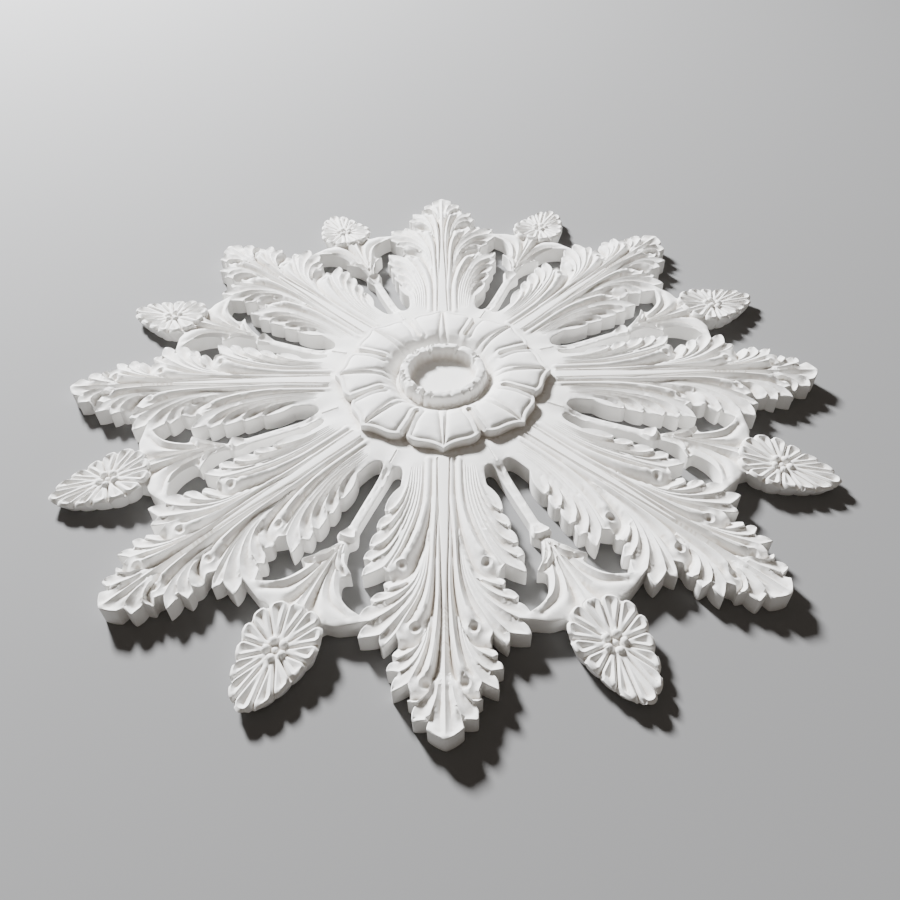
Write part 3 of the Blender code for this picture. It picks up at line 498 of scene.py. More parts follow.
class Relief:
    """The drawn lines of the carving: high lines, low lines, and those that the mesh follows."""

    def __init__(self):
        self.high = []
        self.low = []
        self.drawn = []

    def add_high(self, rows, roundness=0.0, draw=True):
        """Adds a crest; the mesh follows it if it is drawn."""
        self.high.append((rows, roundness))
        if draw:
            self.drawn.append(rows)

    def add_low(self, rows, roundness=0.0, draw=True):
        """Adds the bottom of a hollow or a step; the mesh follows it if it is drawn."""
        self.low.append((rows, roundness))
        if draw:
            self.drawn.append(rows)


# The leaf


def graded(path, stations):
    """A path with its heights given at shares of its length."""
    steps = np.hypot(*np.diff(path[:, :2], axis=0).T)
    travel = np.concatenate([[0.0], np.cumsum(steps)])
    return raised(path[:, :2], np.interp(travel / travel[-1], *zip(*stations)))


def beside(path, distance):
    """The same path moved to its right, seen along the way it runs."""
    way = np.gradient(path, axis=0)
    way /= np.linalg.norm(way, axis=1)[:, None]
    return path + distance * np.stack([way[:, 1], -way[:, 0]], axis=1)


def add_lobe(relief, lobe):
    """The ridges of a lobe, the flutes between them and the foot under each notch."""
    ridges = [smooth_curve(arris, 8) for _, arris in lobe["fingers"]]
    if lobe is LOBES[0]:
        ridges = [led_back(ridge, ROOT_LENGTH) for ridge in ridges]
    for ridge in ridges:
        relief.add_high(graded(ridge, ARRIS if lobe is LOBES[0] else RISING_ARRIS))
    for index, (tip, _) in enumerate(lobe["fingers"][1:]):
        relief.add_low(flute_rows(ridges[index], ridges[index + 1], tip), 0.9)
    if "hollow" in lobe:
        relief.add_low(graded(smooth_curve(lobe["hollow"]), ((0.0, 1.0), (0.5, 0.94), (1.0, 0.84))), 0.9)
    if "rim" in lobe:
        rim = led_back(smooth_curve(lobe["rim"], 8), ROOT_LENGTH)
        relief.add_high(graded(rim, ARRIS))
        relief.add_low(flute_rows(ridges[-1], rim, None), 0.9)
    for ridge in ridges if "crease" not in lobe else ridges[:-1]:
        relief.add_low(graded(notch_foot(ridge), NOTCH_FOOT))


def led_back(path, length):
    """The same path begun earlier, along the way it starts."""
    way = path[4] - path[0]
    return np.vstack([path[0] - way / np.linalg.norm(way) * length, path])


def notch_foot(ridge):
    """The line at the foot of a ridge where it ends in a notch, on the tip side."""
    even = drawn_evenly(raised(ridge, 0.0), 0.002)[:, :2]
    near = even[np.hypot(*(even - even[-1]).T) < NOTCH_LENGTH]
    share = np.linspace(0.4, 1.0, len(near))[:, None]
    return near + (beside(near, -NOTCH_RUN) - near) * share


def flute_rows(before, after, tip):
    """The flute between two ridges, deeper where they part, and led on into the hollow of a finger."""
    even = [drawn_evenly(raised(ridge, 0.0), 0.001)[:, :2] for ridge in (before, after)]
    steps = np.linspace(0.0, 1.0, 31)
    places = [
        np.stack([np.interp(steps, np.linspace(0.0, 1.0, len(ridge)), side) for side in ridge.T], axis=1)
        for ridge in even
    ]
    path = places[0] * FLUTE_SIDES[0] + places[1] * FLUTE_SIDES[1]
    depth = np.minimum(np.hypot(*(places[0] - places[1]).T) * FLUTE_DEPTH, DEEPEST_FLUTE)
    depth *= eased((path[:, 1] - FLUTE_START) / FLUTE_FADE)
    heights = np.interp(steps, *zip(*ARRIS)) - depth
    if tip is not None:
        share = steps[:, None] ** 3
        path = path + (np.array(tip) * FINGER_REACH[0] + path[-1] * FINGER_REACH[1] - path[-1]) * share
        heights = heights + FINGER_LIFT * eased((steps - 0.86) / 0.14)
    return raised(path, heights)[1:]


def add_lobe_end(relief, lobe, start):
    """A lobe's pipe with the crease on one side and the step down to the next lobe on the other."""
    pipe = smooth_curve(lobe["pipe"], 8)
    relief.add_high(graded(pipe, RISING_PIPE if lobe is LOBES[2] else PIPE), 1.0)
    crease = smooth_curve(lobe["crease"], 8)
    relief.add_low(graded(crease, CREASE), 0.1)
    foot = smooth_curve((*lobe["foot"], start), 8)
    relief.add_low(graded(foot, FOOT), 0.2)
    brink = beside(smooth_curve(lobe["foot"], 8), STEP_RUN)
    relief.drawn.append(raised(brink, 0.0))
    pipe = pipe[pipe[:, 1] < lobe["eye"][0][1] - EYE_CLEARANCE * EYE_RADIUS]
    for flank in (crease, brink):
        gaps = np.hypot(*(pipe[:, None] - flank[None]).transpose(2, 0, 1))
        middle = (pipe + flank[gaps.argmin(axis=1)]) / 2
        relief.drawn.append(raised(middle[gaps.min(axis=1) > 0.006], 0.0))


def draw_relief():
    """The high and low lines of the leaf's half and the stem's half."""
    relief = Relief()
    for lobe in LOBES:
        add_lobe(relief, lobe)
    for lobe, following in zip(LOBES, LOBES[1:]):
        add_lobe_end(relief, lobe, following["start"])
    relief.add_low(graded(smooth_curve(APEX_HOLLOW), ((0.0, 0.95), (0.5, 0.87), (1.0, 0.90))), 0.6)
    middle = smooth_curve(((0.0, 0.290, 1.11), (0.0, 0.600, 1.10), (0.0, 0.900, 1.06), (0.0, 1.0, 1.0)))
    relief.add_high(middle, 0.2, draw=False)
    relief.add_high(graded(smooth_curve(BAND_EDGE), ((0.0, 1.11), (1.0, 1.10))))
    for points, roundness in STEM_RIDGES:
        relief.add_high(stem_rows(smooth_curve(points, 8)), roundness)
    for points, roundness in STEM_HOLLOWS:
        relief.add_low(stem_rows(smooth_curve(points, 8)), roundness, draw=points[-1][0] > 0)
    return relief


def finger_edge(start, end, stations, bow):
    """One bowed side of a finger on the outline, with its heights."""
    return graded(bowed_edge(start, end, bow), stations)


def leaf_edge():
    """The pierced leaf's outline, from the inner slot to its tip, as runs of rows."""
    runs = []
    previous = LOBES[0]["start"]
    rise = ((0.0, 0.98), (1.0, EDGE_TIP))
    for number, lobe in enumerate(LOBES):
        if number:
            lip = LOBES[number - 1]["lip"]
            step = [(*previous, 1.0), (*lip[1], 1.05), (*lip[0], 1.05), (*lobe["start"], STEP_FOOT)]
            runs.append(np.array(step))
            previous = lobe["start"]
            rise = ((0.0, STEP_FOOT), (1.0, EDGE_TIP - 0.06))
        for tip, arris in lobe["fingers"]:
            notch = arris[-1]
            runs.append(finger_edge(previous, tip, rise, -0.10))
            runs.append(finger_edge(tip, notch, ((0.0, EDGE_TIP), (1.0, EDGE_NOTCH)), -0.05))
            previous = notch
            rise = FINGER_RISE
    runs.append(np.array([(*previous, FINGER_RISE[0][1]), (*LEAF_SHOULDER, 1.0)]))
    runs.append(raised(bowed_edge(LEAF_SHOULDER, (0.0, 1.0), -0.06), 1.0))
    return runs


# The flower


def flower_radius(turn):
    """The flower's reach from its centre, where turn is the angle from its outer point."""
    length = np.where(np.cos(turn) > 0, FLOWER_OUT, FLOWER_IN)
    ellipse = 1.0 / np.hypot(np.cos(turn) / length, np.sin(turn) / FLOWER_HALF_WIDTH)
    return ellipse * (1.0 - FLOWER_POINTING * np.sin(2 * turn))


def petal_turns():
    """The turns of the petals' middles and gaps round half the flower, and half a petal's width."""
    turns = np.linspace(0.0, math.pi, 481)
    radii = flower_radius(turns)
    places = np.stack([radii * np.sin(turns), radii * np.cos(turns)], axis=1)
    travel = np.concatenate([[0.0], np.cumsum(np.linalg.norm(np.diff(places, axis=0), axis=1))])
    halves = np.linspace(0.0, travel[-1], FLOWER_PETALS + 1)
    return np.interp(halves, travel, turns), travel[-1] / FLOWER_PETALS


PETAL_TURNS, HALF_PETAL = petal_turns()


def flower_edge_share(petal):
    """Petal ends are round: the edge draws in towards the gaps."""
    return 1.0 - PETAL_NOTCH * (1.0 - np.sqrt(np.maximum(0.0, 1.0 - petal**2)))


def petal_margin(turn, share, petal):
    """Distance in from a petal's border, which runs along its gaps and round its end."""
    side = PETAL_CORNER - (1 - petal) * HALF_PETAL * share
    end = PETAL_CORNER - (flower_edge_share(petal) - share) * flower_radius(turn)
    return PETAL_CORNER - np.where(
        (side > 0) & (end > 0),
        np.hypot(np.maximum(side, 0.0), np.maximum(end, 0.0)),
        np.maximum(side, end),
    )


def flower_level(turn, share, petal):
    """Height on the flower; petal is 0 in a petal's middle and 1 at the gap beside it."""
    plane = FLOWER_TIP_HEIGHT + (FLOWER_NECK_HEIGHT - FLOWER_TIP_HEIGHT) * (1 - np.cos(turn) * share) / 2
    reach = np.clip((share - FLOWER_HEART) / (1 - FLOWER_HEART), 0.0, 1.0)
    dish = -HEART_DISH * (1 - reach) ** 1.5
    margin = petal_margin(turn, share, petal)
    shoulder = np.clip(1 - margin / PETAL_RIM, 0.0, 1.0)
    groove = PETAL_GROOVE * (1 - np.sqrt(1 - shoulder**2)) * eased(reach / 0.2)
    spoon = SPOON_DEPTH * eased((margin - PETAL_RIM) / SPOON_SLOPE) * eased((reach + 0.05) / 0.30)
    heart = HEART_DROP * (1 - eased(share / FLOWER_HEART))
    return plane + dish - spoon - groove - heart * 0.5


def bead_level(side, outward):
    """How high the flower's beads stand over its heart, and below nought outside them."""
    level = CENTRE_BEAD**2 - side**2 - outward**2
    height = np.where(level > 0, np.sqrt(np.maximum(level, 0.0)), -1.0)
    for bead in range(BEADS):
        turn = 2 * math.pi * bead / BEADS
        off = (side - BEAD_RING * math.sin(turn)) ** 2 + (outward - BEAD_RING * math.cos(turn)) ** 2
        level = BEAD_RADIUS**2 - off
        height = np.maximum(height, np.where(level > 0, np.sqrt(np.maximum(level, 0.0)), -1.0))
    return height


def flower_spots(points):
    """Side, outward way, turn, share of the reach and petal share of places, from the flower's heart."""
    side = points[:, 1] * math.sin(SECTOR) - points[:, 0] * math.cos(SECTOR)
    outward = points[:, 1] * math.cos(SECTOR) + points[:, 0] * math.sin(SECTOR) - FLOWER_CENTRE
    turn = np.arctan2(np.abs(side), outward)
    share = np.hypot(side, outward) / flower_radius(turn)
    halves = np.interp(turn, PETAL_TURNS, np.arange(len(PETAL_TURNS)))
    petal = np.abs(halves - 2 * np.round(halves / 2))
    return side, outward, turn, share, petal


def flower_run(first_half, last_half, grow=0.0, pieces=8):
    """Rows of the flower's edge between two of its half petals, counted from its outer point."""
    halves = np.linspace(first_half, last_half, (last_half - first_half) * pieces + 1)
    turns = np.interp(halves, np.arange(len(PETAL_TURNS)), PETAL_TURNS)
    petal = np.abs(halves - 2 * np.round(halves / 2))
    share = flower_edge_share(petal)
    radius = flower_radius(turns) * share + grow
    rows = np.stack([radius * np.sin(turns), FLOWER_CENTRE + radius * np.cos(turns)], axis=1)
    return stem_rows(np.column_stack([rows, flower_level(turns, share, petal)]))


def petal_line(half, margin):
    """A line round half a petal, at a distance in from its border."""
    middle, gap = (half, half + 1) if half % 2 == 0 else (half + 1, half)
    turns = np.radians(np.linspace(0.0, 90.0, 6))
    bend = PETAL_CORNER - margin
    first_share = max(0.27, margin / (0.92 * HALF_PETAL))
    ends = np.linspace(1 - first_share, 0.20, 6)[:-1] * flower_radius(PETAL_TURNS[half])
    side = np.concatenate([np.full(5, margin), PETAL_CORNER - bend * np.cos(turns), [HALF_PETAL]])
    end = np.concatenate([ends, PETAL_CORNER - bend * np.sin(turns), [margin]])
    share = 1 - end / 0.1  # a first guess, which each round brings closer
    for _ in range(6):
        petal = np.clip(1 - side / (HALF_PETAL * share), 0.0, 1.0)
        turn = np.interp(middle + (gap - middle) * petal, np.arange(len(PETAL_TURNS)), PETAL_TURNS)
        share = flower_edge_share(petal) - end / flower_radius(turn)
    radius = flower_radius(turn) * share
    places = np.stack([radius * np.sin(turn), FLOWER_CENTRE + radius * np.cos(turn)], axis=1)
    return stem_rows(raised(places, 0.0))


def flower_strokes():
    """Lines round the flower's petals and along their middles, and the ring round its beads."""
    rows = [petal_line(half, margin) for half in range(FLOWER_PETALS) for margin in PETAL_LINES]
    for turn in PETAL_TURNS[::2]:
        radius = flower_radius(turn) * np.linspace(0.36, 0.90, 7)
        places = np.stack([radius * np.sin(turn), FLOWER_CENTRE + radius * np.cos(turn)], axis=1)
        rows.append(stem_rows(raised(places, 0.0)))
    turns = np.linspace(0.0, math.pi, 25)
    ring = BEAD_DISC * np.stack([np.sin(turns), np.cos(turns)], axis=1) + (0.0, FLOWER_CENTRE)
    rows.append(stem_rows(raised(ring, 0.0)))
    return rows


def bead_places():
    """Close points over the flower's beads."""
    rows, columns = np.meshgrid(np.arange(-18, 19), np.arange(0, 18), indexing="ij")
    side = (columns + 0.5 * (rows % 2) + 0.5) * BEAD_SPACING
    outward = rows * BEAD_SPACING * ROW_STEP
    keep = np.hypot(side, outward) < BEAD_DISC - 0.5 * BEAD_SPACING
    places = np.stack([side[keep], outward[keep] + FLOWER_CENTRE, np.zeros(keep.sum())], axis=1)
    return stem_rows(places)[:, :2]


# The boss


PETAL_CURVE = smooth_curve(PETAL_EDGE)


def petal_edge_radius(degrees):
    """The boss's edge, at an angle from a leaf's middle."""
    return np.interp(degrees, PETAL_CURVE[:, 0], PETAL_CURVE[:, 1])


def tear_margin(radius, degrees):
    """Distance out from the hollow between two petals."""
    side = radius * np.sin(np.radians(HALF_TURN - degrees))
    along = radius * np.cos(np.radians(HALF_TURN - degrees))
    half = np.interp(along, *zip(*TEARDROP))
    return np.where(along < TEARDROP_END, np.hypot(side, TEARDROP_END - along), side) - half


def petal_level(radius, degrees):
    """Height on the petals, with their borders, panels, ribs and the hollows between them."""
    edge = petal_edge_radius(degrees)
    share = np.clip((radius - COLLAR_FOOT) / (edge - COLLAR_FOOT), 0.0, 1.0)
    climb = PETAL_CREST_HEIGHT - PETAL_FOOT_HEIGHT
    drop = PETAL_EDGE_HEIGHT - PETAL_CREST_HEIGHT
    rise = PETAL_FOOT_HEIGHT + climb * np.interp(share, *zip(*PETAL_RISE))
    fall = PETAL_CREST_HEIGHT + drop * np.interp(share, *zip(*PETAL_FALL))
    level = np.where(share < 0.5, rise, fall)
    from_edge = (edge - radius) * BORDER_SLANT
    from_rib = radius * np.sin(np.radians(degrees)) - np.interp(radius, *zip(*RIB))
    from_tear = tear_margin(radius, degrees)
    strength = eased((radius - PANEL_START) / 0.03)
    inward = np.minimum(from_edge, from_tear) - BORDER_WIDTH
    groove = BORDER_GROOVE * np.exp(-((inward / GROOVE_WIDTH) ** 2))
    panel_depth = np.minimum(inward, np.maximum(from_rib, 0.0))
    bulge = PANEL_BULGE * (1 - np.exp(-np.maximum(panel_depth, 0.0) / PANEL_SHOULDER)) * (inward > 0)
    rib = RIB_GROOVE * np.exp(-((from_rib / RIB_GROOVE_WIDTH) ** 2)) * eased((radius - 0.128) / 0.03)
    rib_top = RIB_CREST * (1 - eased((from_rib + 0.006) / 0.006)) * eased((radius - 0.140) / 0.03)
    recess = TEARDROP_DEPTH * eased(-from_tear / TEARDROP_SLOPE + 0.15) * strength
    level = level - groove * strength + bulge * strength - rib + rib_top - recess
    return np.minimum(level, COLLAR_RIM_HEIGHT - 0.01)


# The collar from its middle outwards, as (radius, height)
COLLAR = (
    (0.0, 0.99),
    (0.030, 0.985),
    (0.052, 0.96),
    (0.070, 0.925),
    (0.080, 0.93),
    (0.0850, 1.00),
    (0.0880, 1.22),
    (0.0898, 1.52),
    (0.0912, 1.65),
    (0.0945, 1.692),
    (0.0990, 1.70),
    (0.1035, 1.695),
    (0.1080, 1.675),
    (0.1120, 1.620),
    (0.1142, 1.500),
    (0.1155, 1.300),
    (0.1168, 1.080),
    (0.1185, 0.960),
    (0.1212, 0.950),
    (COLLAR_FOOT, PETAL_FOOT_HEIGHT),
)


def collar_level(radius):
    """Height over the collar: its cup's floor and wall, its rounded rim and its outer wall."""
    return np.interp(radius, *zip(*COLLAR))


def polar_rows(radius, degrees):
    """Rows in the drawing at radii and angles from a leaf's middle."""
    radius, degrees = np.broadcast_arrays(np.array(radius, float), np.radians(np.array(degrees, float)))
    return np.column_stack([radius * np.sin(degrees), radius * np.cos(degrees), np.zeros(radius.size)])


def tear_line(offset):
    """A line round half the hollow between two petals, at a distance out from it."""
    along = np.linspace(0.243, TEARDROP_END, 9)
    straight = np.stack([np.interp(along, *zip(*TEARDROP)) + offset, along], axis=1)
    turns = np.radians(np.linspace(90.0, 0.0, 7))[1:]
    bend = TEARDROP[0][1] + offset
    round_end = np.stack([bend * np.sin(turns), TEARDROP_END - bend * np.cos(turns)], axis=1)
    return stem_rows(raised(np.vstack([straight, round_end]), 0.0))


def boss_strokes():
    """The boss's rings, the petal's edge, border, rib and hollow in the sector."""
    strokes = [polar_rows(radius, np.linspace(0.0, HALF_TURN, 7)) for radius in (0.018, 0.036)]
    strokes.append(polar_rows(0.052, np.linspace(0.0, HALF_TURN, 11)))
    strokes.extend(polar_rows(ring, np.linspace(0.0, HALF_TURN, 31)) for ring, _ in COLLAR if ring > 0.06)
    degrees = np.linspace(0.0, HALF_TURN, 30)
    edge = petal_edge_radius(degrees)
    for offset in (-0.0030, -0.0012, 0.0, STEP_WIDTH):
        strokes.append(polar_rows(edge + offset, degrees))
    inner = degrees[(degrees > 1.2) & (degrees < 18.0)]
    for offset in (-GROOVE_WIDTH, 0.0, GROOVE_WIDTH):
        strokes.append(polar_rows(petal_edge_radius(inner) - BORDER_WIDTH / BORDER_SLANT + offset, inner))
    border = (BORDER_WIDTH - 0.0022, BORDER_WIDTH, BORDER_WIDTH + 0.0022)
    strokes.extend(tear_line(offset) for offset in (-TEARDROP_SLOPE, -0.0016, 0.0006, *border))
    radii = np.linspace(0.140, 0.270, 20)
    half = np.interp(radii, *zip(*RIB))
    for offset in (-0.0030, 0.0, 0.0030):
        strokes.append(polar_rows(radii, np.degrees((half + offset).clip(0.0005) / radii)))
    return strokes


# Heights of the carved face


def nearest_heights(points, lines):
    """Distance to the nearest of the lines, with the height and roundness there, for each row of points."""
    starts = np.vstack([rows[:-1] for rows, _ in lines])
    runs = np.vstack([rows[1:] - rows[:-1] for rows, _ in lines])
    roundness = np.concatenate([np.full(len(rows) - 1, value) for rows, value in lines])
    length = np.maximum((runs[:, :2] ** 2).sum(axis=1), 1e-12)
    size = np.sqrt(length)
    made = []
    for chunk in np.array_split(points, max(1, len(points) // 400)):
        offset = chunk[:, None, :] - starts[None, :, :2]
        share = np.clip((offset * runs[None, :, :2]).sum(axis=2) / length, 0.0, 1.0)
        squared = ((offset - share[:, :, None] * runs[None, :, :2]) ** 2).sum(axis=2)
        weight = size / (squared + 4e-9) ** 2
        total = weight.sum(axis=1)
        height = (weight * (starts[None, :, 2] + share * runs[None, :, 2])).sum(axis=1) / total
        rounded = (weight * roundness[None, :]).sum(axis=1) / total
        made.append(np.stack([np.sqrt(squared.min(axis=1)), height, rounded], axis=1))
    return np.vstack(made).T


def carved_heights(points, relief):
    """Heights between the high and low lines, hollow or round as the lines beside them ask."""
    high_gap, high, high_round = nearest_heights(points, relief.high)
    low_gap, low, low_round = nearest_heights(points, relief.low)
    low_gap, high_gap = low_gap**GAP_POWER, high_gap**GAP_POWER
    share = low_gap / np.maximum(low_gap + high_gap, 1e-9)
    plain = (1 - low_round) * (1 - high_round) * share
    hollow = low_round * (1 - high_round) * share**2
    round_top = (1 - low_round) * high_round * (1 - (1 - share) ** ROUND_TOP_POWER)
    both = low_round * high_round * (3 * share**2 - 2 * share**3)
    return low + (high - low) * (plain + hollow + round_top + both)


def band_level(points, heights):
    """The heights with the band along the leaf's middle made nearly flat."""
    edge = np.interp(points[:, 1], [row[1] for row in BAND_EDGE], [row[0] for row in BAND_EDGE])
    share = np.abs(points[:, 0]) / edge
    on_band = (share < 1.0) & (points[:, 1] > BAND_EDGE[0][1]) & (points[:, 1] < BAND_EDGE[-1][1])
    return np.where(on_band, np.maximum(heights, BAND_HEIGHT - 0.012 * share), heights)


def eye_pits(points, heights):
    """The heights with the round dimples at the ends of the lobes' pipes, each in its soft rim."""
    for lobe in LOBES[:-1]:
        centre, towards = (np.array(place) for place in lobe["eye"])
        way = (towards - centre) / np.linalg.norm(towards - centre)
        offset = points - centre
        reach = np.hypot(offset[:, 0], offset[:, 1]) / EYE_RADIUS
        ahead = offset @ way / EYE_RADIUS
        opening = np.clip(ahead, 0.0, 1.0)
        ring = np.minimum(EYE_RING_HEIGHT, heights + EYE_RING_RISE) - 0.05 * opening
        floor = ring - EYE_DEPTH * (1 - EYE_OPENING * opening)
        bowl = floor + (ring - floor) * eased((reach - 0.15) / 0.80)
        outside = eased((reach - 0.90) / 0.85)
        heights = np.where(reach < 1.75, bowl + (heights - bowl) * outside, heights)
    return heights


def eye_strokes():
    """Rings round the eyes for the mesh to follow."""
    strokes = []
    turns = np.radians(np.linspace(0.0, 360.0, 17))
    for lobe in LOBES[:-1]:
        for share in EYE_LINES:
            path = lobe["eye"][0] + EYE_RADIUS * share * np.stack([np.sin(turns), np.cos(turns)], axis=1)
            strokes.append(raised(path, 0.0))
    return strokes


def with_boss(points, heights):
    """The heights with the boss and its collar in the middle."""
    radius = np.hypot(points[:, 0], points[:, 1])
    degrees = np.degrees(np.arctan2(points[:, 0], points[:, 1]))
    edge = petal_edge_radius(degrees)
    boss = np.where(radius < COLLAR_FOOT, collar_level(radius), petal_level(radius, degrees))
    rim = np.clip((radius - edge + 0.0012) / 0.0012, 0.0, 1.0)
    return np.where(radius <= edge + STEP_WIDTH / 2, boss - 0.03 * rim**2, heights)


def with_flower(points, heights):
    """The heights with the flower and its beads at the end of the stem."""
    side, outward, turn, share, petal = flower_spots(points)
    beyond = np.where(turn < PETAL_TURNS[FLOWER_JOIN] - 0.05, FLOWER_BRIM, STEP_WIDTH / 2)
    on_flower = np.hypot(side, outward) <= flower_radius(turn) * flower_edge_share(petal) + beyond
    level = flower_level(turn, np.minimum(share, 1.0), petal)
    beads = bead_level(side, outward)
    base = flower_level(turn, np.minimum(share, FLOWER_HEART), petal * 0) - HEART_DROP * 0.1
    level = np.where(beads > 0, np.maximum(level, base + beads * STEEPNESS), level)
    return np.where(on_flower, level, heights)


def face_heights(points, relief):
    """The height of each place of the carved face."""
    heights = band_level(points, carved_heights(points, relief))
    return with_flower(points, with_boss(points, eye_pits(points, heights)))


# The outline


def joined(*runs):
    """Runs of rows end to end, with each shared point kept once."""
    kept = [runs[0]]
    for run in runs[1:]:
        same = np.hypot(*(run[0, :2] - kept[-1][-1, :2])) < SAME_POINT
        kept.append(run[1:] if same else run)
    return np.vstack(kept)


def drawn_evenly(rows, spacing):
    """The same line with points at even distances."""
    steps = np.hypot(*np.diff(rows[:, :2], axis=0).T)
    travel = np.concatenate([[0.0], np.cumsum(steps)])
    stations = np.linspace(0.0, travel[-1], max(2, int(travel[-1] / spacing)) + 1)
    return np.stack([np.interp(stations, travel, column) for column in rows.T], axis=1)


def thinned(rows, error):
    """The rows that a curve needs to stay within an error of its smooth form."""
    if len(rows) < 3:
        return rows
    run = rows[-1, :2] - rows[0, :2]
    length = np.hypot(*run)
    offset = rows[1:-1, :2] - rows[0, :2]
    if length < 1e-9:
        gap = np.hypot(*offset.T)
    else:
        gap = np.abs(offset[:, 0] * run[1] - offset[:, 1] * run[0]) / length
    worst = int(gap.argmax())
    if gap[worst] < error:
        return rows[[0, -1]]
    left = thinned(rows[: worst + 2], error)
    right = thinned(rows[worst + 1 :], error)
    return np.vstack([left[:-1], right])


def mirrored(row, across):
    """A row mirrored in a line through the middle, whose direction is across."""
    along = np.array([math.sin(across), math.cos(across)])
    made = row.copy()
    made[:2] = 2 * (row[:2] @ along) * along - row[:2]
    return made


def softened(rows, loop, rounds=5):
    """The outline with its corners rounded; its ends stay on the sector's two cut lines."""
    notches = np.array([arris[-1] for lobe in LOBES for _, arris in lobe["fingers"]])
    even = drawn_evenly(rows, 0.0013)
    pinned = np.hypot(*(even[:, None, :2] - notches[None]).transpose(2, 0, 1)).min(axis=1) < 0.0009
    for _ in range(rounds):
        if loop:
            before, after = np.roll(even, 1, axis=0), np.roll(even, -1, axis=0)
        else:
            before = np.vstack([mirrored(even[1], 0.0), even[:-1]])
            after = np.vstack([even[1:], mirrored(even[-2], SECTOR)])
        moved = even / 2 + (before + after) / 4
        even = np.where(pinned[:, None], even, moved)
    return even


def with_longest(rows, longest):
    """Rows with long gaps filled."""
    made = [rows[:1]]
    for start, end in zip(rows, rows[1:]):
        pieces = max(1, math.ceil(np.hypot(*(end - start)[:2]) / longest))
        share = np.linspace(0.0, 1.0, pieces + 1)[1:, None]
        made.append(start + (end - start) * share)
    return np.vstack(made)


def spaced(rows, shortest):
    """Rows without points that crowd the one before; the first and last stay."""
    kept = [rows[0]]
    for row in rows[1:-1]:
        if np.hypot(*(row - kept[-1])[:2]) >= shortest and np.hypot(*(row - rows[-1])[:2]) >= shortest:
            kept.append(row)
    kept.append(rows[-1])
    return np.array(kept)


def outline_lines(relief):
    """The slot's loop and the outer run of half a leaf and half a stem, with the plaster on their left."""
    edge = leaf_edge()
    join_tip, join_arris = LOBES[1]["fingers"][2]
    join_notch = join_arris[-1]
    ends = [np.hypot(*(rows[-1, :2] - join_tip)) < SAME_POINT for rows in edge]
    starts = [np.hypot(*(rows[0, :2] - join_notch)) < SAME_POINT for rows in edge]
    slot_run, outer_run = edge[: ends.index(True) + 1], edge[starts.index(True) :]
    slot_end = stem_curve((from_stem(LOBES[0]["start"], 0.98), *SLOT_END))
    rod = stem_curve(ROD_EDGE)
    knot = stem_rows(KNOT_EDGE)
    bract = stem_curve(BRACT_EDGE)
    arm_inner = stem_curve((*ARM_INNER, from_stem(join_tip, 1.0)))
    flower = flower_run(0, FLOWER_JOIN)
    foot = stem_rows(flower_run(FLOWER_JOIN, FLOWER_JOIN + 1, STEP_WIDTH)[:1])[0]
    foot_start = (foot[0], foot[1], ARM_FOOT_HEIGHT)
    arm_outer = stem_curve((foot_start, *ARM_OUTER, from_stem(join_notch, 1.0)))
    for rows in (*slot_run, *outer_run):
        relief.add_high(rows, draw=False)
    for rows in (arm_inner, bract):
        relief.add_high(rows, 0.3, draw=False)
    for rows in (slot_end, rod, knot, arm_outer):
        relief.add_low(rows, 0.4, draw=False)
    slot = joined(*slot_run, arm_inner[::-1], bract[::-1], knot[::-1], rod[::-1], slot_end[::-1])
    leaf_side = joined(*(rows[::-1] for rows in outer_run[::-1]), arm_outer[::-1])
    outer = joined(leaf_side, flower[::-1])
    return slot, outer


def trimmed(rows, loop):
    """The softened outline with only the points it needs."""
    even = softened(rows[:-1] if loop and np.allclose(rows[0, :2], rows[-1, :2]) else rows, loop)
    if loop:
        even = np.vstack([even, even[:1]])
    made = spaced(with_longest(thinned(even, EDGE_ERROR), LONGEST_EDGE), 0.0014)
    return made[:-1] if loop else made


def inset(rows, loop, distance):
    """Rows moved into the plaster, which lies on the left of the way they run."""
    plan = rows[:, :2]
    if loop:
        before, after = np.roll(plan, 1, axis=0), np.roll(plan, -1, axis=0)
    else:
        before = np.vstack([mirrored(plan[1], SECTOR), plan[:-1]])
        after = np.vstack([plan[1:], mirrored(plan[-2], 0.0)])
    into, out = plan - before, after - plan
    into /= np.maximum(np.linalg.norm(into, axis=1), 1e-9)[:, None]
    out /= np.maximum(np.linalg.norm(out, axis=1), 1e-9)[:, None]
    normal = np.stack([-(into + out)[:, 1], (into + out)[:, 0]], axis=1)
    normal /= np.maximum(np.linalg.norm(normal, axis=1), 1e-9)[:, None]
    half_cosine = np.abs((normal * np.stack([-into[:, 1], into[:, 0]], axis=1)).sum(axis=1))
    made = rows.copy()
    made[:, :2] = plan + normal * (distance / np.maximum(half_cosine, 0.6))[:, None]
    return made


# The mesh of one sector


class Plan:
    """The points and lines to triangulate, with near points made one."""

    def __init__(self):
        self.points = []
        self.edges = []
        self.cells = {}

    def point(self, x, y):
        """The number of the point here, or of one so near that it stands for it."""
        cell = (math.floor(x / SAME_POINT), math.floor(y / SAME_POINT))
        for across in (-1, 0, 1):
            for along in (-1, 0, 1):
                for index in self.cells.get((cell[0] + across, cell[1] + along), ()):
                    other = self.points[index]
                    if math.hypot(x - other[0], y - other[1]) < SAME_POINT:
                        return index
        self.points.append((float(x), float(y)))
        self.cells.setdefault(cell, []).append(len(self.points) - 1)
        return len(self.points) - 1

    def line(self, rows):
        """Adds the points of a line and the edges between them."""
        indices = [self.point(row[0], row[1]) for row in rows]
        for first, second in zip(indices, indices[1:]):
            if first != second:
                self.edges.append((first, second))


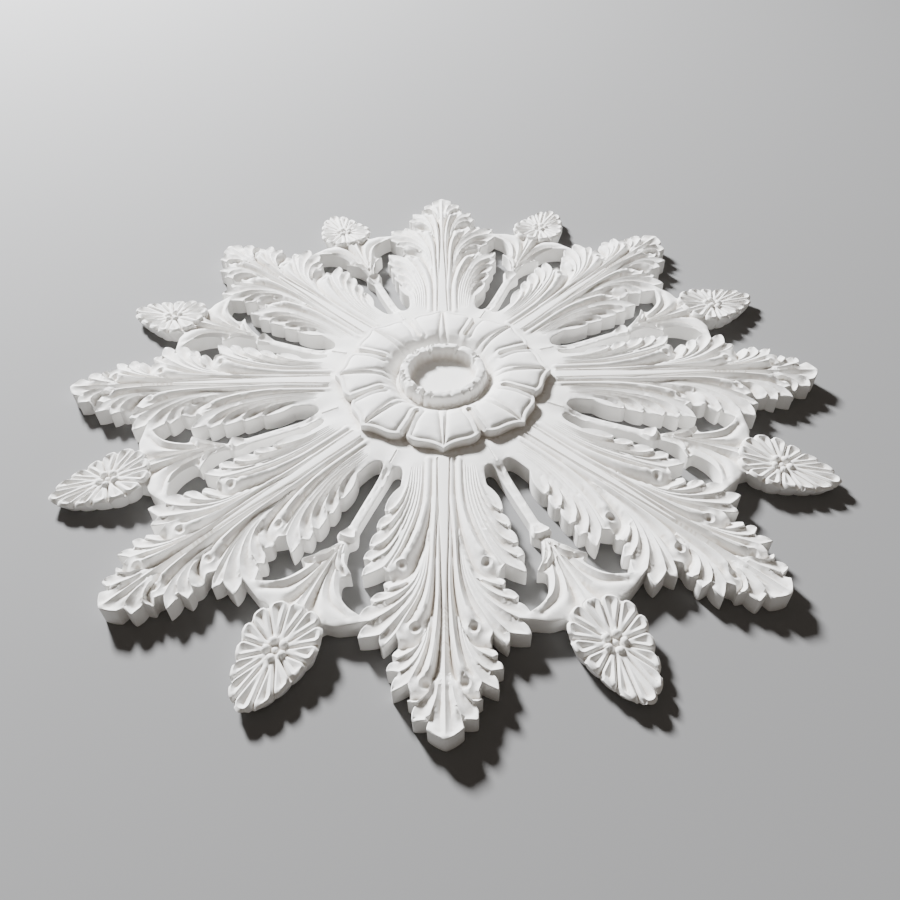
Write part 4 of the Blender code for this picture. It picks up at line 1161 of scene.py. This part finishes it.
def inside(points, loops):
    """Whether each point is inside an odd number of loops."""
    crossings = np.zeros(len(points), int)
    for loop in loops:
        following = np.roll(loop, -1, axis=0)
        for (x0, y0), (x1, y1) in zip(loop, following):
            if y0 == y1:
                continue
            spans = (points[:, 1] > min(y0, y1)) & (points[:, 1] <= max(y0, y1))
            x = x0 + (points[:, 1] - y0) * (x1 - x0) / (y1 - y0)
            crossings += spans & (x > points[:, 0])
    return crossings % 2 == 1


def triangulated(plan, loops, sliver=SLIVER):
    """Triangles of the plan that lie inside the loops, wound to face up."""
    points = [Vector(point) for point in plan.points]
    made, _, faces, _, _, _ = delaunay_2d_cdt(points, plan.edges, [], 0, 1e-7, False)
    spots = np.array([tuple(point) for point in made])
    faces = np.array(faces, int)
    a, b, c = (spots[faces[:, i]] for i in range(3))
    area = (b[:, 0] - a[:, 0]) * (c[:, 1] - a[:, 1]) - (c[:, 0] - a[:, 0]) * (b[:, 1] - a[:, 1])
    faces[area < 0] = faces[area < 0][:, ::-1]
    longest = np.max([np.hypot(*(b - a).T), np.hypot(*(c - b).T), np.hypot(*(a - c).T)], axis=0)
    keep = inside((a + b + c) / 3, loops) & (np.abs(area) >= sliver * longest)
    return spots, faces[keep]


def line_gaps(points, lines):
    """Each point's distance to the nearest of the lines."""
    return nearest_heights(points, [(rows, 0.0) for rows in lines])[0]


def stroke_parts(rows, loops, rings):
    """The parts of a drawn line that lie clear of the outline, led on to it where they were cut."""
    rows = with_longest(thinned(rows, STROKE_ERROR), LONGEST_STROKE)
    clear = inside(rows[:, :2], loops) & (line_gaps(rows[:, :2], rings) > EDGE_CLEARANCE)
    corners = np.vstack(rings)[:, :2]
    parts = []
    part = []
    for row, keep in zip(rows, clear):
        if keep:
            part.append(row[:2])
        elif part:
            parts.append((part, row[:2]))
            part = []
    if part:
        parts.append((part, None))
    made = []
    for part, cut in parts:
        if cut is not None:
            gaps = np.hypot(*(corners - part[-1]).T)
            if gaps.min() < STROKE_JOIN:
                part.append(corners[gaps.argmin()])
        if len(part) > 1:
            made.append(np.array(part))
    return made


def lattice(spacing, loops, lines, heights_of, flatness):
    """Points spread over the face, none near lines and only one in four where the face is nearly flat."""
    rows = np.arange(int(1.05 / (spacing * ROW_STEP)))
    columns = np.arange(int(0.45 / spacing))
    row, column = np.meshgrid(rows, columns, indexing="ij")
    across, along = (column + 0.5 * (row % 2)) * spacing, row * spacing * ROW_STEP
    places = np.stack([across, along], axis=-1).reshape(-1, 2)
    coarse = ((row % 2 == 0) & ((column + row // 2) % 2 == 0)).reshape(-1)
    keep = inside(places, loops)
    places, coarse = places[keep], coarse[keep]
    keep = flower_spots(places)[3] > 1.0
    places, coarse = places[keep], coarse[keep]
    clear = line_gaps(places, lines) > LATTICE_CLEARANCE * spacing
    places, coarse = places[clear], coarse[clear]
    middle = heights_of(places)
    around = np.zeros(len(places))
    for turn in range(6):
        way = np.array([math.cos(turn * math.pi / 3), math.sin(turn * math.pi / 3)]) * spacing
        around += np.abs(heights_of(places + way) + heights_of(places - way) - 2 * middle) / 6
    return places[coarse | (around > flatness)]


def add_wall(faces, upper, lower, loop):
    """A strip of faces between two runs of point numbers."""
    count = len(upper)
    for index in range(count if loop else count - 1):
        following = (index + 1) % count
        faces.append((upper[index], lower[index], lower[following], upper[following]))


def tucked(rows, flower):
    """Where the edge meets the flat back: the flower's edge draws in towards it."""
    back = rows.copy()
    centre = stem_rows([(0.0, FLOWER_CENTRE, 0.0)])[0, :2]
    share = flower_spots(rows[:, :2])[3]
    on_flower = (share > 0.9) & (share < 1.02) & flower
    back[on_flower, :2] = centre + (back[on_flower, :2] - centre) * FLOWER_UNDERCUT
    back[:, 2] = 0.0
    return back


def drawn_lines(relief, loops, rings):
    """Every line that the carved face's mesh follows, within its outline."""
    strokes = boss_strokes() + flower_strokes() + eye_strokes() + relief.drawn
    strokes.append(flower_run(FLOWER_JOIN, FLOWER_PETALS, 0.0))
    strokes.append(flower_run(FLOWER_JOIN, FLOWER_PETALS, STEP_WIDTH))
    return [part for rows in strokes for part in stroke_parts(rows, loops, rings)]


def loops_of(outer, slot):
    """The closed outlines of the sector's plan: round its outer run and the middle, and round the slot."""
    return [np.vstack([[[0.0, 0.0]], outer[:, :2]]), slot[:, :2]]


def carved_face(form, relief, outer, slot):
    """Points and faces of the carved face inside its rounded edge."""
    loops = loops_of(outer, slot)
    rings = [outer, np.vstack([slot, slot[:1]])]
    cuts = [np.array([[0.0, 0.0, 0.0], end]) for end in (outer[-1], outer[0])]
    lines = drawn_lines(relief, loops, rings) + [with_longest(rows, form.spacing) for rows in cuts]
    plan = Plan()
    for rows in rings + lines:
        plan.line(rows)
    every_line = [raised(rows[:, :2], 0.0) for rows in lines + rings]

    def heights_of(places):
        return face_heights(places, relief)

    plan.points.extend(map(tuple, lattice(form.spacing, loops, every_line, heights_of, form.flatness)))
    beads = bead_places()
    plan.points.extend(map(tuple, beads[line_gaps(beads, every_line) > 0.4 * BEAD_SPACING]))
    spots, faces = triangulated(plan, loops)
    return np.column_stack([spots, heights_of(spots)]), faces


def flat_back(outer, slot):
    """Points and faces of the flat back, wound to face down."""
    plan = Plan()
    plan.line(outer)
    plan.line(np.vstack([slot, slot[:1]]))
    plan.line([(0.0, 0.0), outer[0]])
    plan.line([(0.0, 0.0), outer[-1]])
    spots, faces = triangulated(plan, loops_of(outer, slot), 0.0)
    return np.column_stack([spots, np.zeros(len(spots))]), faces[:, ::-1]


def sector_mesh(form):
    """Points and faces of one sector of the casting, open along its two cut sides."""
    relief = draw_relief()
    slot, outer = outline_lines(relief)
    slot = trimmed(slot, True)
    outer = trimmed(outer, False)[::-1]
    slot_top, outer_top = inset(slot, True, form.edge_round), inset(outer, False, form.edge_round)
    slot_back, outer_back = tucked(slot, False), tucked(outer, True)
    top, top_faces = carved_face(form, relief, outer_top, slot_top)
    points = [top]
    faces = [tuple(face) for face in top_faces]
    count = len(top)
    sides = ((outer_top, outer, outer_back, False), (slot_top, slot, slot_back, True))
    for ring, edge, back, loop in sides:
        upper = [int(np.hypot(*(top[:, :2] - row[:2]).T).argmin()) for row in ring]
        shoulder = edge.copy()
        shoulder[:, 2] = top[upper, 2] - form.edge_round * STEEPNESS
        middle = list(range(count, count + len(edge)))
        lower = list(range(count + len(edge), count + 2 * len(edge)))
        points.extend([shoulder, back])
        count += 2 * len(edge)
        add_wall(faces, upper, middle, loop)
        add_wall(faces, middle, lower, loop)
    back, back_faces = flat_back(outer_back, slot_back)
    points.append(back)
    faces += [tuple(face + count) for face in back_faces]
    return np.vstack(points), faces


# The whole casting


def whole_points(points, faces, radius, thickness):
    """All sixteen sectors, in metres, every second one mirrored."""
    every = []
    wound = []
    for leaf in range(LEAVES):
        turn = 2 * math.pi * leaf / LEAVES
        for side in (1, -1):
            x, y = points[:, 0] * side, points[:, 1]
            across = x * math.cos(turn) - y * math.sin(turn)
            along = x * math.sin(turn) + y * math.cos(turn)
            first = len(every) * len(points)
            every.append(np.column_stack([across * radius, along * radius, points[:, 2] * thickness]))
            for face in faces:
                wound.append([first + corner for corner in (face if side == 1 else face[::-1])])
    return np.vstack(every), wound


def turned_off(turns, centre):
    """Angles from a centre, the short way round."""
    return (turns - centre + math.pi) % (2 * math.pi) - math.pi


def ringed(reach, start, start_run, end, end_run):
    """One between two radii, rising over the first run and falling over the last."""
    return eased((reach - start) / start_run) * (1 - eased((reach - end) / end_run))


def rim_cuts(turns, chance):
    """How deep the collar's rim is cut all round, by its uneven crimps and its torn spot."""
    cut = np.zeros(len(turns))
    for crimp in range(CRIMPS):
        centre = 2 * math.pi * (crimp + chance.uniform(-CRIMP_SHIFT, CRIMP_SHIFT)) / CRIMPS
        width = math.radians(chance.uniform(*CRIMP_WIDTHS))
        depth = chance.uniform(0.1, 1.0) ** 1.5
        cut = np.maximum(cut, depth * np.exp(-((turned_off(turns, centre) / width) ** 2)))
    torn = turned_off(turns, math.radians(TORN_AT)) / math.radians(TORN_WIDTH)
    return np.maximum(cut, TORN_DEPTH * np.exp(-(torn**4)))


def crimp_collar(made, turns, reach, thickness, chance):
    """Cuts and swells the points of the collar's rim, its outer wall and the cup's mouth."""
    cut = rim_cuts(turns, chance)
    swell = 0.5 + 0.5 * np.sin(7 * turns + 2 * np.sin(3 * turns + 1.0))
    rim = ringed(reach, 0.088, 0.010, 0.110, 0.012)
    wall = ringed(reach, 0.104, 0.008, 0.118, 0.006)
    mouth = ringed(reach, 0.084, 0.005, 0.091, 0.006)
    made[:, 2] -= thickness * rim * (CRIMP_DEPTH * cut + RIM_SWELL * swell)
    drawn_in = wall * (0.032 * cut - 0.008 * (1 - swell))
    widened = mouth * (0.030 * cut - 0.02 * swell)
    made[:, :2] *= (1 - drawn_in + widened)[:, None]


def wave_carving(made, points, reach, radius, chance):
    """Moves the points in slight waves that fade out at the collar and towards the leaves' tips."""
    calm = np.clip(1 - reach**6, 0.0, 1.0) * eased((reach - 0.13) / 0.1)
    phase = chance.uniform(0.0, 2 * math.pi, (WAVES, 3))
    for number, (first, second, third) in enumerate(phase, start=1):
        pace = 9.0 + 7.0 * number
        lift = np.sin(points[:, 0] * pace / radius + first) * np.sin(points[:, 1] * pace / radius + second)
        made[:, 0] += calm * WAVE_SIZE * radius * lift * math.sin(third) / number
        made[:, 1] += calm * WAVE_SIZE * radius * lift * math.cos(third) / number
        made[:, 2] *= 1 + calm * WAVE_LIFT * lift / number


def cast_unevenly(points, radius, thickness):
    """The casting with its collar's rim crimped and torn, and with the slight waves of a hand-run mould."""
    chance = np.random.default_rng(CAST_SEED)
    turns = np.arctan2(points[:, 0], points[:, 1])
    reach = np.hypot(points[:, 0], points[:, 1]) / radius
    made = points.copy()
    crimp_collar(made, turns, reach, thickness, chance)
    wave_carving(made, points, reach, radius, chance)
    made[:, 2] = np.minimum(made[:, 2], COLLAR_RIM_HEIGHT * thickness)
    return made


def welded(points, faces, distance=0.00003):
    """Points closer than a distance made one, and the faces that are left."""
    cells = np.round(points / distance).astype(np.int64)
    _, first, same = np.unique(cells, axis=0, return_index=True, return_inverse=True)
    same = same.reshape(-1)
    made = []
    for face in faces:
        corners = []
        for corner in face:
            corner = int(same[corner])
            if not corners or corners[-1] != corner:
                corners.append(corner)
        if len(corners) > 2 and corners[0] == corners[-1]:
            corners.pop()
        if len(corners) > 2:
            made.append(corners)
    return points[first], made


def linked(nodes, links, kind, *sources, **settings):
    """A new node with its settings made and its first inputs linked."""
    node = nodes.new(kind)
    for name, value in settings.items():
        if name in node.inputs:
            node.inputs[name].default_value = value
        else:
            setattr(node, name, value)
    for socket, source in sources:
        links.new(source, node.inputs[socket])
    return node


def noise(nodes, links, place, **settings):
    """A noise texture laid over the casting."""
    return linked(nodes, links, "ShaderNodeTexNoise", ("Vector", place), **settings).outputs["Fac"]


def ranged(nodes, links, value, limits):
    """A value brought between new limits, given by the names of their sockets."""
    node = linked(nodes, links, "ShaderNodeMapRange", ("Value", value))
    for name, limit in limits.items():
        node.inputs[name].default_value = limit
    return node.outputs["Result"]


def blended(nodes, links, share, first, second):
    """A first colour that gives way to a second; the first may be another node's output."""
    node = linked(nodes, links, "ShaderNodeMix", (0, share), data_type="RGBA")
    if isinstance(first, bpy.types.NodeSocket):
        links.new(first, node.inputs[6])
    else:
        node.inputs[6].default_value = (*first, 1.0)
    node.inputs[7].default_value = (*second, 1.0)
    return node.outputs[2]


def combined(nodes, links, operation, first, second):
    """Two values added or multiplied."""
    return linked(nodes, links, "ShaderNodeMath", (0, first), (1, second), operation=operation).outputs[0]


def plaster_colour(nodes, links, place, finish):
    """Clean plaster with slightly darker patches, and painted shade where the surface is hollow."""
    hollow = nodes.new("ShaderNodeNewGeometry").outputs["Pointiness"]
    patches = noise(nodes, links, place, Scale=9.0, Detail=5.0, Roughness=0.6)
    clean = blended(nodes, links, patches, finish.colour, finish.patch_colour)
    # Painted shade: the colour darkens towards a warm grey-brown where the surface's pointiness shows a
    # crease.
    limits = {"From Min": 0.498, "From Max": 0.44, "To Max": finish.painted_crease_shade}
    return blended(nodes, links, ranged(nodes, links, hollow, limits), clean, finish.painted_shade_colour)


def plaster_surface(nodes, links, place):
    """The height of the plaster's fine grain, brushed unevenness and pinholes."""
    brushed = noise(nodes, links, place, Scale=60.0, Detail=6.0, Roughness=0.65)
    grain = noise(nodes, links, place, Scale=420.0, Detail=3.0)
    pores = linked(nodes, links, "ShaderNodeTexVoronoi", ("Vector", place), Scale=170.0)
    holes = ranged(nodes, links, pores.outputs["Distance"], {"From Min": 0.06, "From Max": 0.16})
    return combined(nodes, links, "ADD", combined(nodes, links, "MULTIPLY", brushed, grain), holes)


def plaster_material(finish):
    """Bare plaster: slightly uneven in colour, with painted shade in its creases, fine grain and pinholes.
    """
    material = bpy.data.materials.new("bare_cast_plaster")
    material.use_nodes = True
    nodes = material.node_tree.nodes
    links = material.node_tree.links
    shader = nodes["Principled BSDF"]
    place = nodes.new("ShaderNodeTexCoord").outputs["Object"]
    links.new(plaster_colour(nodes, links, place, finish), shader.inputs["Base Color"])
    worn = noise(nodes, links, place, Scale=24.0, Detail=3.0)
    limits = {"To Min": finish.roughness - 0.12, "To Max": finish.roughness + 0.10}
    links.new(ranged(nodes, links, worn, limits), shader.inputs["Roughness"])
    surface = plaster_surface(nodes, links, place)
    bump = linked(nodes, links, "ShaderNodeBump", ("Height", surface), Strength=0.35)
    bump.inputs["Distance"].default_value = finish.grain_height
    links.new(bump.outputs["Normal"], shader.inputs["Normal"])
    return material


class RoseForm(bpy.types.PropertyGroup):
    """Sizes of the casting"""

    radius: FloatProperty(
        name="Radius",
        description="From the rose's middle to a leaf's tip",
        default=(SOLID_HIGH.x - SOLID_LOW.x) / 2,
        unit="LENGTH",
    )
    thickness: FloatProperty(
        name="Leaf thickness",
        description="From the flat back to the edge of a leaf",
        default=(SOLID_HIGH.z - SOLID_LOW.z) / COLLAR_RIM_HEIGHT,
        unit="LENGTH",
    )
    edge_round: FloatProperty(
        name="Edge rounding",
        description="How far the rounded edge of the carved face reaches in, as a share of the radius",
        default=0.0018,
        precision=4,
    )
    spacing: FloatProperty(
        name="Mesh spacing",
        description="Distance between points on the carved face, as a share of the radius",
        default=0.0052,
        precision=4,
    )
    flatness: FloatProperty(
        name="Flatness",
        description="Points are left out where the face bends less than this share of the leaf's thickness",
        default=0.006,
        precision=4,
    )


class PlasterFinish(bpy.types.PropertyGroup):
    """Look of the bare plaster"""

    colour: FloatVectorProperty(
        name="Plaster",
        description="Colour of the clean cast plaster",
        subtype="COLOR",
        size=3,
        min=0.0,
        max=1.0,
        default=(0.86, 0.855, 0.84),
    )
    patch_colour: FloatVectorProperty(
        name="Patches",
        description="Colour of the plaster where it is slightly darker",
        subtype="COLOR",
        size=3,
        min=0.0,
        max=1.0,
        default=(0.80, 0.785, 0.755),
    )
    # Colour of the painted shade that darkens the plaster's creases.
    painted_shade_colour: FloatVectorProperty(
        name="Painted shade",
        description="Colour of the painted shade in the creases",
        subtype="COLOR",
        size=3,
        min=0.0,
        max=1.0,
        default=(0.52, 0.47, 0.41),
    )
    # Strength of the painted shade in the plaster's creases.
    painted_crease_shade: FloatProperty(
        name="Painted shade in creases",
        description="How strong the painted shade in the creases is",
        default=0.85,
        min=0.0,
        max=1.0,
    )
    roughness: FloatProperty(
        name="Roughness",
        description="How matt the plaster is",
        default=0.8,
        min=0.0,
        max=1.0,
    )
    grain_height: FloatProperty(
        name="Grain",
        description="Height of the plaster's fine grain",
        default=0.0004,
        precision=5,
        unit="LENGTH",
    )


class StageLook(bpy.types.PropertyGroup):
    """Floor and lights"""

    floor_colour: FloatVectorProperty(
        name="Floor",
        description="Colour of the plain floor",
        subtype="COLOR",
        size=3,
        min=0.0,
        max=1.0,
        default=(0.18, 0.18, 0.18),
    )
    key_power: FloatProperty(
        name="Key light",
        description="Power of the soft light behind and to the left",
        default=1650.0,
        unit="POWER",
    )
    fill_strength: FloatProperty(
        name="Fill",
        description="Strength of the even light from all round",
        default=0.19,
    )


class CEILINGROSE_OT_casting(bpy.types.Operator):
    """Carve the plaster casting over its solid"""

    bl_idname = "ceilingrose.casting"
    bl_label = "Plaster casting"

    def execute(self, context):
        form = context.scene.rose_form
        points, faces = sector_mesh(form)
        points, faces = welded(*whole_points(points, faces, form.radius, form.thickness))
        points = cast_unevenly(points, form.radius, form.thickness)
        mesh = bpy.data.meshes.new("plaster_rose")
        mesh.from_pydata(points.tolist(), [], faces)
        mesh.validate()
        mesh.shade_smooth()
        mesh.set_sharp_from_angle(angle=math.radians(42))
        rose = bpy.data.objects.new("plaster_rose", mesh)
        context.scene.collection.objects.link(rose)
        rose.data.materials.append(plaster_material(context.scene.plaster_finish))
        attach(rose, "root")
        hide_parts("rose_casting")
        return {"FINISHED"}


def turned_to(target, azimuth, elevation, distance, roll=0.0):
    """A place and turn that look at a target from an azimuth and elevation in degrees."""
    azimuth, elevation = math.radians(azimuth), math.radians(elevation)
    back = Vector(
        (
            math.sin(azimuth) * math.cos(elevation),
            -math.cos(azimuth) * math.cos(elevation),
            math.sin(elevation),
        )
    )
    right = Vector((math.cos(azimuth), math.sin(azimuth), 0.0))
    up = back.cross(right)
    roll = math.radians(roll)
    turned_right = right * math.cos(roll) + up * math.sin(roll)
    turned_up = up * math.cos(roll) - right * math.sin(roll)
    axes = Matrix((turned_right, turned_up, back)).transposed()
    return Matrix.Translation(Vector(target) + back * distance) @ axes.to_4x4()


def lay_floor(scene, look):
    """A plain matt floor just under the rose."""
    mesh = bpy.data.meshes.new("floor")
    reach = FLOOR_REACH
    corners = [(-reach, -reach, 0.0), (reach, -reach, 0.0), (reach, reach, 0.0), (-reach, reach, 0.0)]
    mesh.from_pydata(corners, [], [(0, 1, 2, 3)])
    floor = bpy.data.objects.new("floor", mesh)
    floor.location.z = -FLOOR_DROP
    material = bpy.data.materials.new("matt_floor")
    material.use_nodes = True
    shader = material.node_tree.nodes["Principled BSDF"]
    shader.inputs["Base Color"].default_value = (*look.floor_colour, 1.0)
    shader.inputs["Roughness"].default_value = 0.9
    mesh.materials.append(material)
    scene.collection.objects.link(floor)


def set_lights(scene, look):
    """A soft key light behind and to the left, and warm even light from all round."""
    key = bpy.data.lights.new("soft_key", "AREA")
    key.shape = "DISK"
    key.size = KEY_SIZE
    key.energy = look.key_power
    key.color = KEY_COLOUR
    lamp = bpy.data.objects.new("soft_key", key)
    lamp.matrix_world = turned_to((0.0, 0.0, 0.0), KEY_AZIMUTH, KEY_ELEVATION, KEY_DISTANCE)
    scene.collection.objects.link(lamp)
    world = bpy.data.worlds.new("even_light")
    world.use_nodes = True
    background = world.node_tree.nodes["Background"]
    background.inputs["Color"].default_value = FILL_COLOUR
    background.inputs["Strength"].default_value = look.fill_strength
    scene.world = world


def set_camera(scene, form):
    """The camera at the photograph's angle."""
    camera = bpy.data.cameras.new("photo_camera")
    camera.sensor_width = SENSOR_WIDTH
    camera.lens = LENS
    view = bpy.data.objects.new("photo_camera", camera)
    target = (CAMERA_TARGET[0] * form.radius, CAMERA_TARGET[1] * form.radius, form.thickness)
    distance = CAMERA_DISTANCE * form.radius
    view.matrix_world = turned_to(target, CAMERA_AZIMUTH, CAMERA_ELEVATION, distance, CAMERA_ROLL)
    scene.collection.objects.link(view)
    scene.camera = view


class CEILINGROSE_OT_stage(bpy.types.Operator):
    """Lay the floor, and set the lights and the camera"""

    bl_idname = "ceilingrose.stage"
    bl_label = "Floor, lights and camera"

    def execute(self, context):
        scene = context.scene
        lay_floor(scene, scene.stage_look)
        set_lights(scene, scene.stage_look)
        set_camera(scene, scene.rose_form)
        return {"FINISHED"}


class CEILINGROSE_PT_parts(bpy.types.Panel):
    """The rose's parts and their settings"""

    bl_idname = "CEILINGROSE_PT_parts"
    bl_label = "Ceiling rose"
    bl_space_type = "VIEW_3D"
    bl_region_type = "UI"
    bl_category = "Ceiling rose"

    def draw(self, context):
        layout = self.layout
        for group in (context.scene.rose_form, context.scene.plaster_finish, context.scene.stage_look):
            box = layout.box()
            for name in group.bl_rna.properties.keys():
                if name not in {"rna_type", "name"}:
                    box.prop(group, name)
        layout.operator(CEILINGROSE_OT_casting.bl_idname)
        layout.operator(CEILINGROSE_OT_stage.bl_idname)


CLASSES = (
    RoseForm,
    PlasterFinish,
    StageLook,
    CEILINGROSE_OT_casting,
    CEILINGROSE_OT_stage,
    CEILINGROSE_PT_parts,
)


def register():
    for kind in CLASSES:
        bpy.utils.register_class(kind)
    bpy.types.Scene.rose_form = PointerProperty(type=RoseForm)
    bpy.types.Scene.plaster_finish = PointerProperty(type=PlasterFinish)
    bpy.types.Scene.stage_look = PointerProperty(type=StageLook)


def unregister():
    del bpy.types.Scene.rose_form
    del bpy.types.Scene.plaster_finish
    del bpy.types.Scene.stage_look
    for kind in reversed(CLASSES):
        bpy.utils.unregister_class(kind)


def main():
    """Builds the rose and its stage."""
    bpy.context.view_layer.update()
    register()
    bpy.ops.ceilingrose.casting()
    bpy.ops.ceilingrose.stage()


if __name__ == "__main__":
    main()
